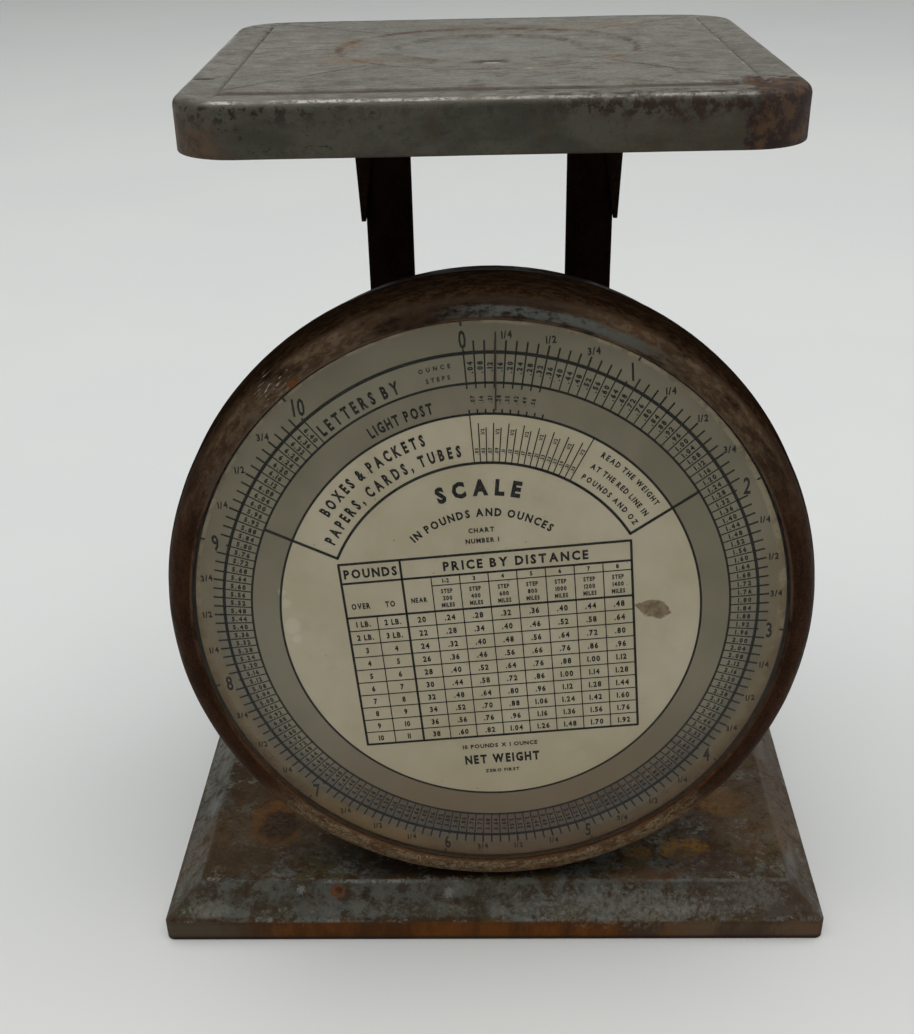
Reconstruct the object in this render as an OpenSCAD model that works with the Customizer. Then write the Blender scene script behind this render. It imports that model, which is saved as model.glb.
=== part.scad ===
// Ten-pound spring letter scale with a round dial, a square platform
// on two flat legs and a square pressed-steel base.
// Millimetres, +Z up, origin at the centre of the base on the table,
// the dial faces -Y.

/* [Base] */
// Width and depth of the square base
base_w = 203; // [198:1:210]
// Height of the upright lip round the base
lip_h = 6.5; // [5:0.5:8]
// Width of the sloping border inside the lip
bevel_in = 10.7; // [9:0.1:13]
// Height of the flat top of the base
base_h = 15; // [14.5:0.5:15.5]
// Thickness of the pressed sheet
sheet_t = 1; // [0.8:0.1:1.2]

/* [Dial drum] */
// Height of the dial's centre above the table
dial_z = 103.8; // [103.8:0.1:104.4]
// Radius of the turning dial card
dial_r = 80.6; // [79:0.1:81]
// Radius of the opening inside the bezel
bezel_in_r = 81.3; // [81.2:0.1:81.6]
// Radius of the bezel's outer skirt
bezel_out_r = 88.75; // [88.65:0.05:88.75]
// Radius of the drum's shell
drum_r = 85; // [84.6:0.1:85.4]

/* [Platform] */
// Width and depth of the square platform
plat_w = 153; // [146:0.2:156]
// Height of the platform's border above the table
plat_z = 230.6; // [229:0.1:232]
// Depth of the platform's skirt
plat_skirt = 12.4; // [10:0.1:14]
// Radius of the platform's corners, seen from above
plat_corner = 16; // [14:0.5:20]
// Half the width of the raised panel
panel_half = 65.3; // [60:0.1:66]
// Radius of the outer pressed ring on the platform
ring_out = 40.5; // [38:0.5:42]
// Radius of the inner pressed ring on the platform
ring_in = 25; // [22:0.5:27]

/* [Legs] */
// Width of each flat leg
strap_w = 13.4; // [12:0.1:13.6]
// Distance of each leg's centre line from the middle
strap_x = 28.9; // [28.8:0.1:29.4]
// Thickness of each flat leg
strap_t = 1.6; // [1.2:0.1:1.8]

/* [Mechanism] */
// Gear module of the rack and pinion
gear_m = 0.5; // [0.5]
// Number of teeth on the pinion
gear_teeth = 15; // [15]
// Downward travel of the platform at full load
travel = 20.9; // [20:0.1:21]
// Length of each check link between its pivots
link_l = 42; // [42]
// Turns of wire in each weighing spring
spring_turns = 15; // [12:1:17]

/* [Hidden] */
$fn = 96;
sides = [-1, 1];

// Housing: front and back are Y planes
house_half = 45;
house_front = -56;
house_back = 38;
house_corner = 7;
house_t = 1;
cap_z = 148;

// Fixed frame
frame_half = 20;
frame_back = 34;
frame_top = 140;
frame_t = 2;

// Check links: pivot heights on the frame, and the rise of each link to its yoke pin
upper_pivot_z = 108;
lower_pivot_z = 46;
pivot_heights = [lower_pivot_z, upper_pivot_z];
frame_pivot_y = 28;
yoke_pin_y = frame_pivot_y - link_l;
link_rise = travel/2;
link_tilt = atan(link_rise/link_l);
link_x = 20;
cheek_x = 17.6;
cheek_t = 1.4;
pin_r = 1.5;

// Depths measured forward (towards -Y) from the middle plane
lens_front = 90.6;
lens_back = 89.6;
dial_front = 89;
dial_back = 88.5;
drum_back = -house_front;
lens_r = 82.8;
arbor_r = 2;
bush_bore = arbor_r + 0.04;

// Bridge behind the housing's front sheet
bridge_front = house_front + house_t;
bridge_back = -18.2;
bridge_foot_t = 1.2;
bridge_arm_x = 14.5;

// Platform bracket, under the pan
bracket_t = 1.4;
bracket_top = plat_z - sheet_t;
bracket_z = bracket_top - bracket_t;

// Yokes and rivets
yoke_t = 1.6;
shelf_z = 50;
upper_rivets = [113.5, 122.5];
lower_rivets = [49.5, 58.5];
rivet_r = 1.3;

// Springs
spring_x = 11.5;
spring_y = -8;
wire_r = 0.45;
coil_r = 3.7;
hook_r = 2.6;
top_hole_z = 127.4;
low_hole_z = 57;

// Screw places: seen from above as [x, y], or from the front as [x, z]
screw_r = 1.5;
cap_screw_r = 1.25;
cover_bolts = [for (side=sides, y=[-38,24]) [side*(house_half+4), y]];
front_bolts = [[-30,-49.5], [30,-49.5]];
frame_bolts = [for (y=[26,14], side=sides) [side*14, y]];
cap_bolts = [for (side=sides, y=[-44,28]) [side*40.2, y]];
drum_bolts = [for (a=[90,210,330]) [30*cos(a), dial_z + 30*sin(a)]];
bridge_bolts = [for (side=sides, dz=[-7,7]) [side*20, dial_z + dz]];

// ---------- helpers ----------
module rounded_slab(w, d, r, h) linear_extrude(height=h) {
  square([w - 2*r, d], center=true);
  square([w, d - 2*r], center=true);
  for (sx=sides, sy=sides) translate([sx*(w/2-r), sy*(d/2-r)]) circle(r);
}

// Intersection of two equal profiles: a hipped form with mitred corners
module hip(width, outline) {
  intersection() {
    rotate([90,0,0]) linear_extrude(height=width+20, center=true) polygon(outline);
    rotate([0,0,90]) rotate([90,0,0])
      linear_extrude(height=width+20, center=true) polygon(outline);
  }
}

// Turned about the dial's axis: the profile is (radius, distance forward)
module about_dial()
  translate([0,0,dial_z]) rotate([90,0,0]) rotate_extrude($fn=180) children();

module rod_y(x, z, y0, y1, r) translate([x,y0,z]) rotate([-90,0,0]) cylinder(r=r, h=y1-y0);
module rod_x(x0, x1, y, z, r) translate([x0,y,z]) rotate([0,90,0]) cylinder(r=r, h=x1-x0);

// Block between [low, high] limits on each axis
module box(x, y, z) translate([x[0],y[0],z[0]]) cube([x[1]-x[0], y[1]-y[0], z[1]-z[0]]);

// A left and right pair, each of the given width and centred at distance x
module side_boxes(x, width, y, z)
  for (side=sides) box([side*x - width/2, side*x + width/2], y, z);
module side_rods(x, width, y, z, r)
  for (side=sides) rod_x(side*x - width/2, side*x + width/2, y, z, r);

// Upright holes at [x, y] points, and level holes at [x, z] points
module holes_z(points, z, h, r=screw_r)
  for (p=points) translate([p[0],p[1],z]) cylinder(r=r, h=h, $fn=32);
module holes_y(points, y0, y1) for (p=points) rod_y(p[0], p[1], y0, y1, screw_r);

// Slotted pan-head screw, head up, under-head plane at z=0
module pan_screw(l, r=screw_r, head_r=2.9, head_h=1.7) {
  edge_h = head_h*0.45;
  crown = [for (a=[15:15:90]) [head_r*cos(a), edge_h + head_h*0.55*sin(a)]];
  slot_w = 0.7;
  difference() {
    union() {
      rotate_extrude($fn=48) polygon(concat([[0,0], [head_r,0], [head_r,edge_h]], crown));
      translate([0,0,-l]) cylinder(r=r, h=l+0.2, $fn=32);
    }
    translate([-head_r-1, -slot_w/2, head_h*0.5]) cube([2*head_r+2, slot_w, head_h]);
  }
}

// Domed rivet head, flat side at z=0
module dome(r, h) rotate_extrude($fn=40)
  polygon(concat([[0,0]], [for (a=[0:15:90]) [r*cos(a), h*sin(a)]]));
module rivet_shank(l) translate([0,0,-l]) cylinder(r=rivet_r, h=l, $fn=32);

// ---------- base ----------
function base_outline(half, lip_z, top_half, top_z) =
  [[-half,0], [half,0], [half,lip_z], [top_half,top_z], [-top_half,top_z], [-half,lip_z]];

module base_plate() color([0.42,0.42,0.38]) {
  half = base_w/2;
  inner = base_w - 2*sheet_t;
  corner = 2.5;
  below = 1; // the hollow starts this far under the table plane
  difference() {
    intersection() {
      hip(base_w, base_outline(half, lip_h, half-bevel_in, base_h));
      rounded_slab(base_w, base_w, corner, base_h+1);
    }
    translate([0,0,-below]) intersection() {
      hip(base_w, base_outline(half-sheet_t, lip_h+below-0.35,
        half-bevel_in-0.4, base_h+below-sheet_t));
      rounded_slab(inner, inner, corner-sheet_t, base_h+below);
    }
    holes_z(concat(cover_bolts, front_bolts, frame_bolts), base_h-3, 5);
  }
}

// ---------- housing behind the drum ----------
module housing_front() color([0.12,0.10,0.09]) difference() {
  inner = house_half - house_t;
  union() {
    box([-inner,inner], [house_front,bridge_front], [base_h,cap_z-house_t]);
    box([-38,38], [house_front,house_front+12], [base_h,base_h+house_t]);
  }
  rod_y(0, dial_z, house_front-1, house_front+3, 5);
  holes_y(drum_bolts, house_front-1, house_front+3);
  holes_y(bridge_bolts, house_front-1, house_front+3);
  holes_z(front_bolts, base_h-1, 4);
}

// Plan of the housing with rounded back corners; an inset plan
// runs out past the front, to cut the cover open there
module housing_plan(inset=0) {
  depth = house_back - house_front;
  mid_half = house_half - house_corner;
  translate([-house_half+inset, house_front-inset])
    square([2*(house_half-inset), depth-house_corner+inset]);
  translate([-mid_half, house_front-inset]) square([2*mid_half, depth]);
  for (side=sides) translate([side*mid_half, house_back-house_corner])
    circle(house_corner-inset);
}

module housing_cover() color([0.13,0.11,0.10]) difference() {
  union() {
    translate([0,0,base_h]) linear_extrude(height=cap_z-house_t-base_h) difference() {
      housing_plan();
      housing_plan(house_t);
    }
    // outward feet and inward top ledges
    for (side=sides) {
      translate([side*(house_half+4), -7, base_h])
        linear_extrude(height=house_t) square([8,76], center=true);
      translate([side*(house_half-4.5), -8, cap_z-2*house_t])
        linear_extrude(height=house_t) square([8,84], center=true);
    }
  }
  holes_z(cover_bolts, base_h-1, 4);
  holes_z(cap_bolts, cap_z-4, 6, cap_screw_r);
}

module housing_cap() color([0.12,0.10,0.09]) difference() {
  gap = 1.2; // clearance all round each leg
  translate([0,0,cap_z-house_t]) linear_extrude(height=house_t) housing_plan();
  for (side=sides) translate([side*strap_x, 0, cap_z-2])
    linear_extrude(height=3) square([strap_w+2*gap, strap_t+2*gap], center=true);
  translate([0,spring_y,cap_z-2]) cylinder(r=2.6, h=3, $fn=32);
  holes_z(cap_bolts, cap_z-3, 5, cap_screw_r);
}

// ---------- frame that carries the load ----------
module mech_frame() color([0.45,0.45,0.45]) difference() {
  width = [-frame_half, frame_half];
  union() {
    box(width, [frame_back-frame_t,frame_back], [base_h,frame_top]);
    box(width, [8,frame_back], [base_h,base_h+frame_t]);
    box(width, [-16,frame_back], [frame_top-frame_t,frame_top]);
    for (z=pivot_heights)
      side_boxes(cheek_x, cheek_t, [frame_pivot_y-4.5,frame_pivot_y+4.5], [z-5,z+5]);
  }
  for (z=pivot_heights) rod_x(-25, 25, frame_pivot_y, z, pin_r);
  translate([0,spring_y,136]) cylinder(r=1.55, h=6, $fn=32);
  holes_z(frame_bolts, base_h-1, 5);
}

// ---------- drum, bezel, lens ----------
module drum_shell() color([0.06,0.05,0.05]) difference() {
  wall_r = drum_r - 0.9;
  floor_f = drum_back + 1;
  front = 82.75;
  flange_r = bezel_out_r - 0.15;
  union() {
    about_dial() polygon([[0,drum_back], [drum_r-0.6,drum_back], [drum_r,drum_back+0.6],
      [drum_r,front], [wall_r,front], [wall_r,floor_f], [0,floor_f]]);
    // flange that the bezel seats against
    about_dial() polygon([[drum_r-0.5,73.4], [flange_r-0.4,73.4], [flange_r,73.8],
      [flange_r,74.7], [flange_r-0.4,75.1], [drum_r-0.5,75.1]]);
  }
  rod_y(0, dial_z, -drum_back-2, -drum_back+1, 8);
  holes_y(drum_bolts, -drum_back-2, -drum_back+1);
}

// Elliptical arc of n steps about a centre, from angle a0 to a1
function arc(centre, rx, ry, n, a0, a1) =
  [for (i=[0:n]) let(a = a0+(a1-a0)*i/n) [centre[0]+rx*cos(a), centre[1]+ry*sin(a)]];

module drum_bezel() color([0.30,0.20,0.14]) {
  wall = 0.75;
  roll_r = 5.2;
  rear = 75.15;
  centre = [bezel_out_r-roll_r, 84];
  about_dial() polygon(concat(
    [[bezel_out_r-wall,rear], [bezel_out_r,rear]],
    arc(centre, roll_r, 7.6, 16, 0, 90),
    [[bezel_in_r+0.5,91.45], [bezel_in_r,91.1], [bezel_in_r,lens_front], [lens_r,lens_front]],
    arc(centre, roll_r-wall, 6.9, 12, 88, 0)));
}

module dial_lens() color([0.8,0.85,0.85,0.3]) about_dial()
  polygon([[0,lens_back], [lens_r,lens_back], [lens_r,lens_front], [0,lens_front]]);

module lens_retainer() color([0.1,0.1,0.1]) {
  outer = bezel_out_r - 0.8;
  inner = 81.7;
  web_r = 83.6;
  about_dial() polygon([[inner,82.8], [outer,82.8], [outer,83.6], [web_r,83.6],
    [web_r,86.8], [82.6,lens_back], [inner,lens_back]]);
}

module hairline_index() color([0.30,0.08,0.05])
  box([1.7,2.1], [-lens_back,-lens_back+0.18], [dial_z+58.5,dial_z+78]);

// ---------- dial group ----------
module dial_plate() color([0.78,0.76,0.66]) about_dial()
  polygon([[0,dial_back], [dial_r,dial_back], [dial_r,dial_front], [0,dial_front]]);

module dial_hub() color([0.70,0.58,0.30]) about_dial()
  polygon([[arbor_r,77], [4.5,77], [4.5,86.5], [11,87.3], [11,dial_back], [arbor_r,dial_back]]);

module dial_arbor() color([0.62,0.62,0.62]) {
  rear = 16.2;
  collar_r = 2.9;
  collar = [59.6, 61.4];
  about_dial() polygon([[0,rear], [arbor_r-0.4,rear], [arbor_r,rear+0.4],
    [arbor_r,collar[0]], [collar_r,collar[0]], [collar_r,collar[1]], [arbor_r,collar[1]],
    [arbor_r,dial_back-0.3], [arbor_r-0.3,dial_back], [0,dial_back]]);
}

// Pinion: involute teeth with a 20 degree pressure angle
pressure_a = 20;
pitch_r = gear_m*gear_teeth/2;
tooth_pitch = PI*gear_m;
gear_base_r = pitch_r*cos(pressure_a);
gear_tip_r = pitch_r + 0.40;
gear_root_r = pitch_r - 0.60;
flank_steps = 5;
// half tooth angle at the pitch circle, thinned for backlash
half_tooth_a = 90/gear_teeth - 0.055/pitch_r*180/PI;
flank_a = half_tooth_a + tan(pressure_a)*180/PI - pressure_a;
tip_roll = sqrt(pow(gear_tip_r/gear_base_r, 2) - 1)*180/PI;

// point on the involute of the base circle at a roll angle
function involute(roll) = let(arc_len = roll*PI/180)
  gear_base_r*[cos(roll) + arc_len*sin(roll), sin(roll) - arc_len*cos(roll)];
function turn(p, a) = [p[0]*cos(a) - p[1]*sin(a), p[0]*sin(a) + p[1]*cos(a)];

flank = [for (i=[0:flank_steps]) turn(involute(tip_roll*i/flank_steps), -flank_a)];
tooth = concat(
  [turn([gear_root_r,0], -flank_a)],
  flank,
  [for (i=[flank_steps:-1:0]) [flank[i][0], -flank[i][1]]],
  [turn([gear_root_r,0], flank_a)]);
// half a pitch of turn puts a gap, not a tooth, at the rack
gear_points = [for (k=[0:gear_teeth-1]) let(a = 180 + (k+0.5)*360/gear_teeth)
  for (p=tooth) turn(p, a)];

module pinion_gear() color([0.72,0.60,0.32])
  translate([0,-26,dial_z]) rotate([90,0,0]) linear_extrude(height=8) difference() {
    polygon(gear_points);
    circle(arbor_r, $fn=48);
  }

module front_bush() color([0.70,0.58,0.30]) about_dial()
  polygon([[bush_bore,53], [4,53], [4,54.5], [5,54.5], [5,56.5], [6.4,56.5], [6.4,59],
    [bush_bore,59]]);

module rear_bush() color([0.70,0.58,0.30]) about_dial()
  polygon([[bush_bore,17], [4,17], [4,20.2], [5.5,20.2], [5.5,22], [bush_bore,22]]);

module arbor_bridge() color([0.5,0.5,0.5]) difference() {
  foot_w = 10;
  z = [dial_z-12, dial_z+12];
  union() {
    side_boxes(bridge_arm_x, cheek_t, [bridge_front,bridge_back], z);
    side_boxes(bridge_arm_x+foot_w/2, foot_w, [bridge_front,bridge_front+bridge_foot_t], z);
    box([-15,15], [bridge_back-2,bridge_back], z);
  }
  rod_y(0, dial_z, -22, -16, 4);
  holes_y(bridge_bolts, bridge_front-2, bridge_front+5);
}

// ---------- platform ----------
// Rounded-square slab whose top edge is rolled over with radius roll
module soft_slab(w, top, h, corner, roll) {
  translate([0,0,top-h]) rounded_slab(w, w, corner, h-roll);
  translate([0,0,top-h]) rounded_slab(w-2*roll, w-2*roll, corner-roll, h);
  for (k=[0:3]) rotate([0,0,90*k]) {
    translate([0,w/2-roll,top-roll]) rotate([0,90,0])
      cylinder(r=roll, h=w-2*corner, center=true, $fn=48);
    translate([w/2-corner,w/2-corner,top-roll]) rotate_extrude(angle=90, $fn=96)
      translate([corner-roll,0]) intersection() {
        circle(roll, $fn=48);
        translate([0,-roll]) square([roll,2*roll]);
      }
  }
}

module platform_pan() color([0.50,0.50,0.46]) {
  roll = 2.6;
  shoulder = panel_half - 1;
  difference() {
    union() {
      soft_slab(plat_w, plat_z, plat_skirt, plat_corner, roll);
      // raised panel: short step, then four very shallow slopes that meet on the diagonals
      translate([0,0,plat_z-0.2]) hip(2*panel_half,
        [[-panel_half,0], [panel_half,0], [shoulder,0.7], [0,2], [-shoulder,0.7]]);
    }
    // round flats inside the pressed rings
    translate([0,0,plat_z+1.1]) cylinder(r=ring_out-0.8, h=3, $fn=96);
    translate([0,0,plat_z+0.8]) cylinder(r=ring_in-0.6, h=3, $fn=96);
    // hollow underside
    soft_slab(plat_w-2*sheet_t, plat_z-sheet_t, plat_skirt-sheet_t+1,
      plat_corner-sheet_t, roll-sheet_t);
  }
}

function bracket_rivet_points(side) = [for (dx=[-3.6,3.6]) [side*strap_x+dx, 5.5]];
module bracket_holes(side) holes_z(bracket_rivet_points(side), plat_z-8, 12, rivet_r);

module platform_bracket() color([0.16,0.11,0.08]) difference() {
  ear_top = bracket_top - 0.4;
  ear_foot = 187.4;
  union() {
    box([-46,46], [-13,13], [bracket_z,bracket_top]);
    // down-turned tapered ears on the outer edge of each leg
    for (side=sides) mirror([side<0?1:0,0,0])
      translate([0,-strap_t/2,0]) rotate([90,0,0]) linear_extrude(height=1.5)
        polygon([[29.6,ear_top], [39,ear_top], [37,ear_foot], [35.7,ear_foot], [33.3,204]]);
  }
  for (side=sides) bracket_holes(side);
}

// ---------- legs and yokes ----------
// The two rivets of a row are staggered about the leg's centre line
function yoke_rivet_x(side, i) = side*(strap_x + (i==0 ? -2.6 : 2.6));
module yoke_rivet_holes(side, heights, y0, y1)
  for (i=[0,1]) rod_y(yoke_rivet_x(side, i), heights[i], y0, y1, rivet_r);

module strap(side) {
  x0 = side*strap_x - strap_w/2;
  foot_z = 44;
  difference() {
    union() {
      translate([x0,-strap_t/2,foot_z]) cube([strap_w,strap_t,bracket_z-foot_z]);
      // top bent back under the bracket
      translate([x0,-strap_t/2,bracket_z-strap_t]) cube([strap_w,10,strap_t]);
    }
    bracket_holes(side);
    for (heights=[lower_rivets,upper_rivets]) yoke_rivet_holes(side, heights, -2, 2);
  }
}
module strap_left() color([0.14,0.09,0.07]) strap(-1);
module strap_right() color([0.14,0.09,0.07]) strap(1);

// Plate behind the legs, with cheeks reaching forward to the yoke pins
module yoke_body(bottom, pin_z) {
  back = strap_t/2;
  box([-35,35], [back,back+yoke_t], [bottom,bottom+20.5]);
  side_boxes(cheek_x, cheek_t, [yoke_pin_y-3.2,back+0.5], [pin_z-4.4,pin_z+4.4]);
}
module yoke_cuts(heights, pin_z) {
  for (side=sides) yoke_rivet_holes(side, heights, 0, 4);
  // slots that the check link arms swing through
  side_boxes(link_x, 2.6, [0,4], [pin_z-8.35,pin_z+10]);
  side_rods(cheek_x, 4, yoke_pin_y, pin_z, pin_r);
}
module hook_holes(z)
  for (side=sides) rod_y(side*spring_x, z, spring_y-3, spring_y+3, 1.4);

module upper_yoke() color([0.40,0.40,0.40]) difference() {
  yoke_body(106, upper_pivot_z+link_rise);
  yoke_cuts(upper_rivets, upper_pivot_z+link_rise);
}

module lower_yoke() color([0.40,0.40,0.40]) difference() {
  pin_z = lower_pivot_z + link_rise;
  tab_z = [51, 60];
  union() {
    yoke_body(43, pin_z);
    // shelf carrying the rack and the lower spring tab
    box([-16,16], [-37,strap_t/2+0.5], [shelf_z,shelf_z+yoke_t]);
    box([-15,15], [spring_y-0.75,spring_y+0.75], tab_z);
    // lugs that hold the foot of the rack
    for (y=[-34.4,-26.9]) box([-11,-2], [y,y+1.2], tab_z);
  }
  yoke_cuts(lower_rivets, pin_z);
  hook_holes(low_hole_z);
  rod_y(rack_pin_x, rack_pin_z, -36, -25, rack_pin_r);
}

module strap_rivets() color([0.25,0.2,0.17]) {
  grip = strap_t + yoke_t;
  head_r = 2.2;
  head_h = 1;
  for (heights=[lower_rivets,upper_rivets], side=sides, i=[0,1])
    translate([yoke_rivet_x(side, i), -strap_t/2, heights[i]]) rotate([90,0,0]) {
      rivet_shank(grip);
      dome(head_r, head_h);
      translate([0,0,-grip]) mirror([0,0,1]) dome(head_r*0.85, head_h*0.8);
    }
}

module bracket_rivets() color([0.25,0.2,0.17])
  for (side=sides, p=bracket_rivet_points(side))
    translate([p[0],p[1],bracket_z-strap_t]) rotate([180,0,0]) {
      rivet_shank(strap_t+bracket_t);
      dome(2.3, 1.1);
    }

// ---------- rack ----------
rack_pin_x = -6.5;
rack_pin_z = 56;
rack_pin_r = 1;
rack_edge_x = -9.4; // plain edge, away from the pinion
rack_foot_z = 52.2;
rack_top_z = dial_z + travel + 8;
rack_add = 0.40;
rack_ded = 0.55;
rack_root_x = -pitch_r - rack_ded;
rack_tip_x = -pitch_r + rack_add;
// half tooth widths at the pitch line, root and tip
rack_half = tooth_pitch/4 - 0.03;
root_half = rack_half + rack_ded*tan(pressure_a);
tip_half = rack_half - rack_add*tan(pressure_a);
function rack_tooth(z) = [[rack_root_x, z-root_half], [rack_tip_x, z-tip_half],
  [rack_tip_x, z+tip_half], [rack_root_x, z+root_half]];
rack_points = concat(
  [[rack_edge_x,rack_foot_z], [rack_root_x,rack_foot_z]],
  [for (k=[-2:15]) for (p=rack_tooth(dial_z + k*tooth_pitch)) p],
  [[rack_root_x,rack_top_z], [rack_edge_x,rack_top_z]]);

module rack_bar() color([0.55,0.55,0.55])
  translate([0,-27.1,0]) rotate([90,0,0]) linear_extrude(height=5.9) difference() {
    polygon(rack_points);
    translate([rack_pin_x,rack_pin_z]) circle(rack_pin_r, $fn=32);
  }

module rack_pin() color([0.62,0.62,0.62]) {
  rod_y(rack_pin_x, rack_pin_z, -35, -25, rack_pin_r);
  rod_y(rack_pin_x, rack_pin_z, -36, -34.9, 1.8);
}

module rack_leaf_spring() color([0.5,0.45,0.3]) {
  leaf_t = 0.4;
  y = [-32.2, -28];
  foot_z = shelf_z + yoke_t;
  box([rack_edge_x-leaf_t,rack_edge_x], y, [foot_z,78]);
  box([-14,rack_edge_x], y, [foot_z,foot_z+leaf_t]);
}

// ---------- weighing springs ----------
// Wire centre line: lower eye, helix, upper eye
eye_steps = 14;
turn_steps = 16;
coil_steps = spring_turns*turn_steps;
low_eye_z = low_hole_z - 0.35 + hook_r;
top_eye_z = top_hole_z + 0.35 - hook_r;
coil_z0 = low_eye_z + hook_r + 1.6;
coil_z1 = top_eye_z - hook_r - 1.6;
function eye_point(z, a) = [0, hook_r*cos(a), z + hook_r*sin(a)];
lower_eye = [for (i=[eye_steps:-1:0]) eye_point(low_eye_z, 90 - 300*i/eye_steps)];
upper_eye = [for (i=[0:eye_steps]) eye_point(top_eye_z, -90 + 300*i/eye_steps)];
// the coil closes in to the axis over its first and last six steps
coil = [for (i=[0:coil_steps])
  let(a = 360*i/turn_steps, r = coil_r*min(1, min(i, coil_steps-i)/6))
  [r*sin(a), r*cos(a), coil_z0 + (coil_z1-coil_z0)*i/coil_steps]];
path = concat(lower_eye, coil, upper_eye);
last = len(path) - 1;

function unit(v) = v/norm(v);
function tangent(i) = unit(path[min(i+1,last)] - path[max(i-1,0)]);
// side vectors are carried along the wire so the skin never twists
function carry(i, v) = let(t = tangent(i)) unit(v - (v*t)*t);
side_vectors = [for (i=0, v=unit(cross(tangent(0), [1,0,0])); i<=last;
  i=i+1, v=(i<=last ? carry(i, v) : v)) v];
wire_n = 7; // corners of the wire's section
wire_points = [for (i=[0:last]) let(u = side_vectors[i], v = cross(tangent(i), u))
  for (j=[0:wire_n-1]) let(a = 360*j/wire_n) path[i] + wire_r*(cos(a)*u + sin(a)*v)];
wire_faces = concat(
  [[for (j=[0:wire_n-1]) j]],
  [for (i=[0:last-1]) for (j=[0:wire_n-1])
    let(a = i*wire_n+j, b = i*wire_n+(j+1)%wire_n)
    each [[b+wire_n, b, a], [a+wire_n, b+wire_n, a]]],
  [[for (j=[wire_n-1:-1:0]) last*wire_n+j]]);

module weigh_spring(side) translate([side*spring_x,spring_y,0])
  polyhedron(points=wire_points, faces=wire_faces, convexity=6);
module spring_left() color([0.6,0.6,0.58]) weigh_spring(-1);
module spring_right() color([0.6,0.6,0.58]) weigh_spring(1);

// ---------- zero adjuster ----------
module spring_hanger() color([0.45,0.45,0.45]) difference() {
  union() {
    box([-16,16], [spring_y-0.75,spring_y+0.75], [124.6,134]);
    translate([0,spring_y,126]) cylinder(r=4, h=9, $fn=48);
  }
  hook_holes(top_hole_z);
  translate([0,spring_y,120]) cylinder(r=1.55, h=20, $fn=32);
}

module zero_screw() color([0.62,0.62,0.62]) translate([0,spring_y,0]) {
  translate([0,0,122]) cylinder(r=screw_r, h=36, $fn=32);
  // collar just above the frame's top
  translate([0,0,frame_top+0.1]) cylinder(r=3.2, h=1.6, $fn=32);
}

module zero_knob() color([0.70,0.58,0.30]) translate([0,spring_y,cap_z+1]) difference() {
  knob_r = 6.6;
  knob_h = 7.2;
  union() {
    cylinder(r=knob_r, h=knob_h, $fn=64);
    for (k=[0:35]) rotate([0,0,10*k]) translate([knob_r,0,0.6]) cylinder(r=0.32, h=6, $fn=4);
    translate([0,0,knob_h]) cylinder(r=5.2, h=0.8, $fn=64);
  }
  translate([0,0,-1]) cylinder(r=screw_r, h=20, $fn=32);
}

// ---------- check links ----------
// Two arms joined by a crossbar; the yoke ends are slotted
module check_link(z) {
  arm_r = 3.6;
  arm_t = 1.6;
  far_y = -link_l - 1.3;
  slot_r = 1.66;
  slot_y = [-link_l-1.4, -link_l+0.1];
  translate([0,frame_pivot_y,z]) rotate([-link_tilt,0,0]) difference() {
    union() {
      for (y=[0,-link_l,far_y]) side_rods(link_x, arm_t, y, 0, arm_r);
      side_boxes(link_x, arm_t, [far_y,0], [-arm_r,arm_r]);
      box([-link_x,link_x], [-19,-11], [-arm_t/2,arm_t/2]);
    }
    rod_x(-25, 25, 0, 0, 1.54);
    for (y=slot_y) side_rods(link_x, 4, y, 0, slot_r);
    side_boxes(link_x, 4, slot_y, [-slot_r,slot_r]);
  }
}
module upper_check_link() color([0.48,0.48,0.46]) check_link(upper_pivot_z);
module lower_check_link() color([0.48,0.48,0.46]) check_link(lower_pivot_z);

module yoke_pins() color([0.62,0.62,0.62]) for (z=pivot_heights) {
  side_rods(19.15, 4.9, yoke_pin_y, z+link_rise, pin_r);
  side_rods(21.45, 0.9, yoke_pin_y, z+link_rise, 2.2);
}

module frame_pin(z) rod_x(-23, 23, frame_pivot_y, z, pin_r);
module upper_frame_pin() color([0.62,0.62,0.62]) frame_pin(upper_pivot_z);
module lower_frame_pin() color([0.62,0.62,0.62]) frame_pin(lower_pivot_z);

module pin_collars() color([0.3,0.3,0.3]) for (z=pivot_heights) difference() {
  side_rods(21.7, 1.2, frame_pivot_y, z, 2.6);
  side_rods(21.7, 4, frame_pivot_y, z, pin_r);
}

module stop_bumper() color([0.08,0.08,0.08]) translate([0,-14,base_h])
  rotate_extrude($fn=64) polygon([[0,0], [6,0], [5,12.4], [4,13.4], [0,13.4]]);

// ---------- screws ----------
// Varied turns leave the slots pointing different ways
module base_screws() color([0.5,0.48,0.44]) {
  z = base_h + house_t;
  for (p=cover_bolts) translate([p[0],p[1],z]) rotate([0,0,p[0]*7]) pan_screw(4);
  for (p=front_bolts) translate([p[0],p[1],z]) pan_screw(4);
}
module frame_screws() color([0.5,0.48,0.44]) for (p=frame_bolts)
  translate([p[0],p[1],base_h+frame_t]) rotate([0,0,p[1]*5]) pan_screw(5);
module drum_screws() color([0.5,0.48,0.44]) for (p=drum_bolts)
  translate([p[0],-drum_back-1,p[1]]) rotate([90,0,0]) pan_screw(4);
module bridge_screws() color([0.5,0.48,0.44]) for (p=bridge_bolts)
  translate([p[0],bridge_front+bridge_foot_t,p[1]]) rotate([-90,0,0]) pan_screw(2.2);
module cap_screws() color([0.5,0.48,0.44]) for (p=cap_bolts)
  translate([p[0],p[1],cap_z]) rotate([0,0,p[1]*3]) pan_screw(4, cap_screw_r, 2.3, 1.4);

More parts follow.
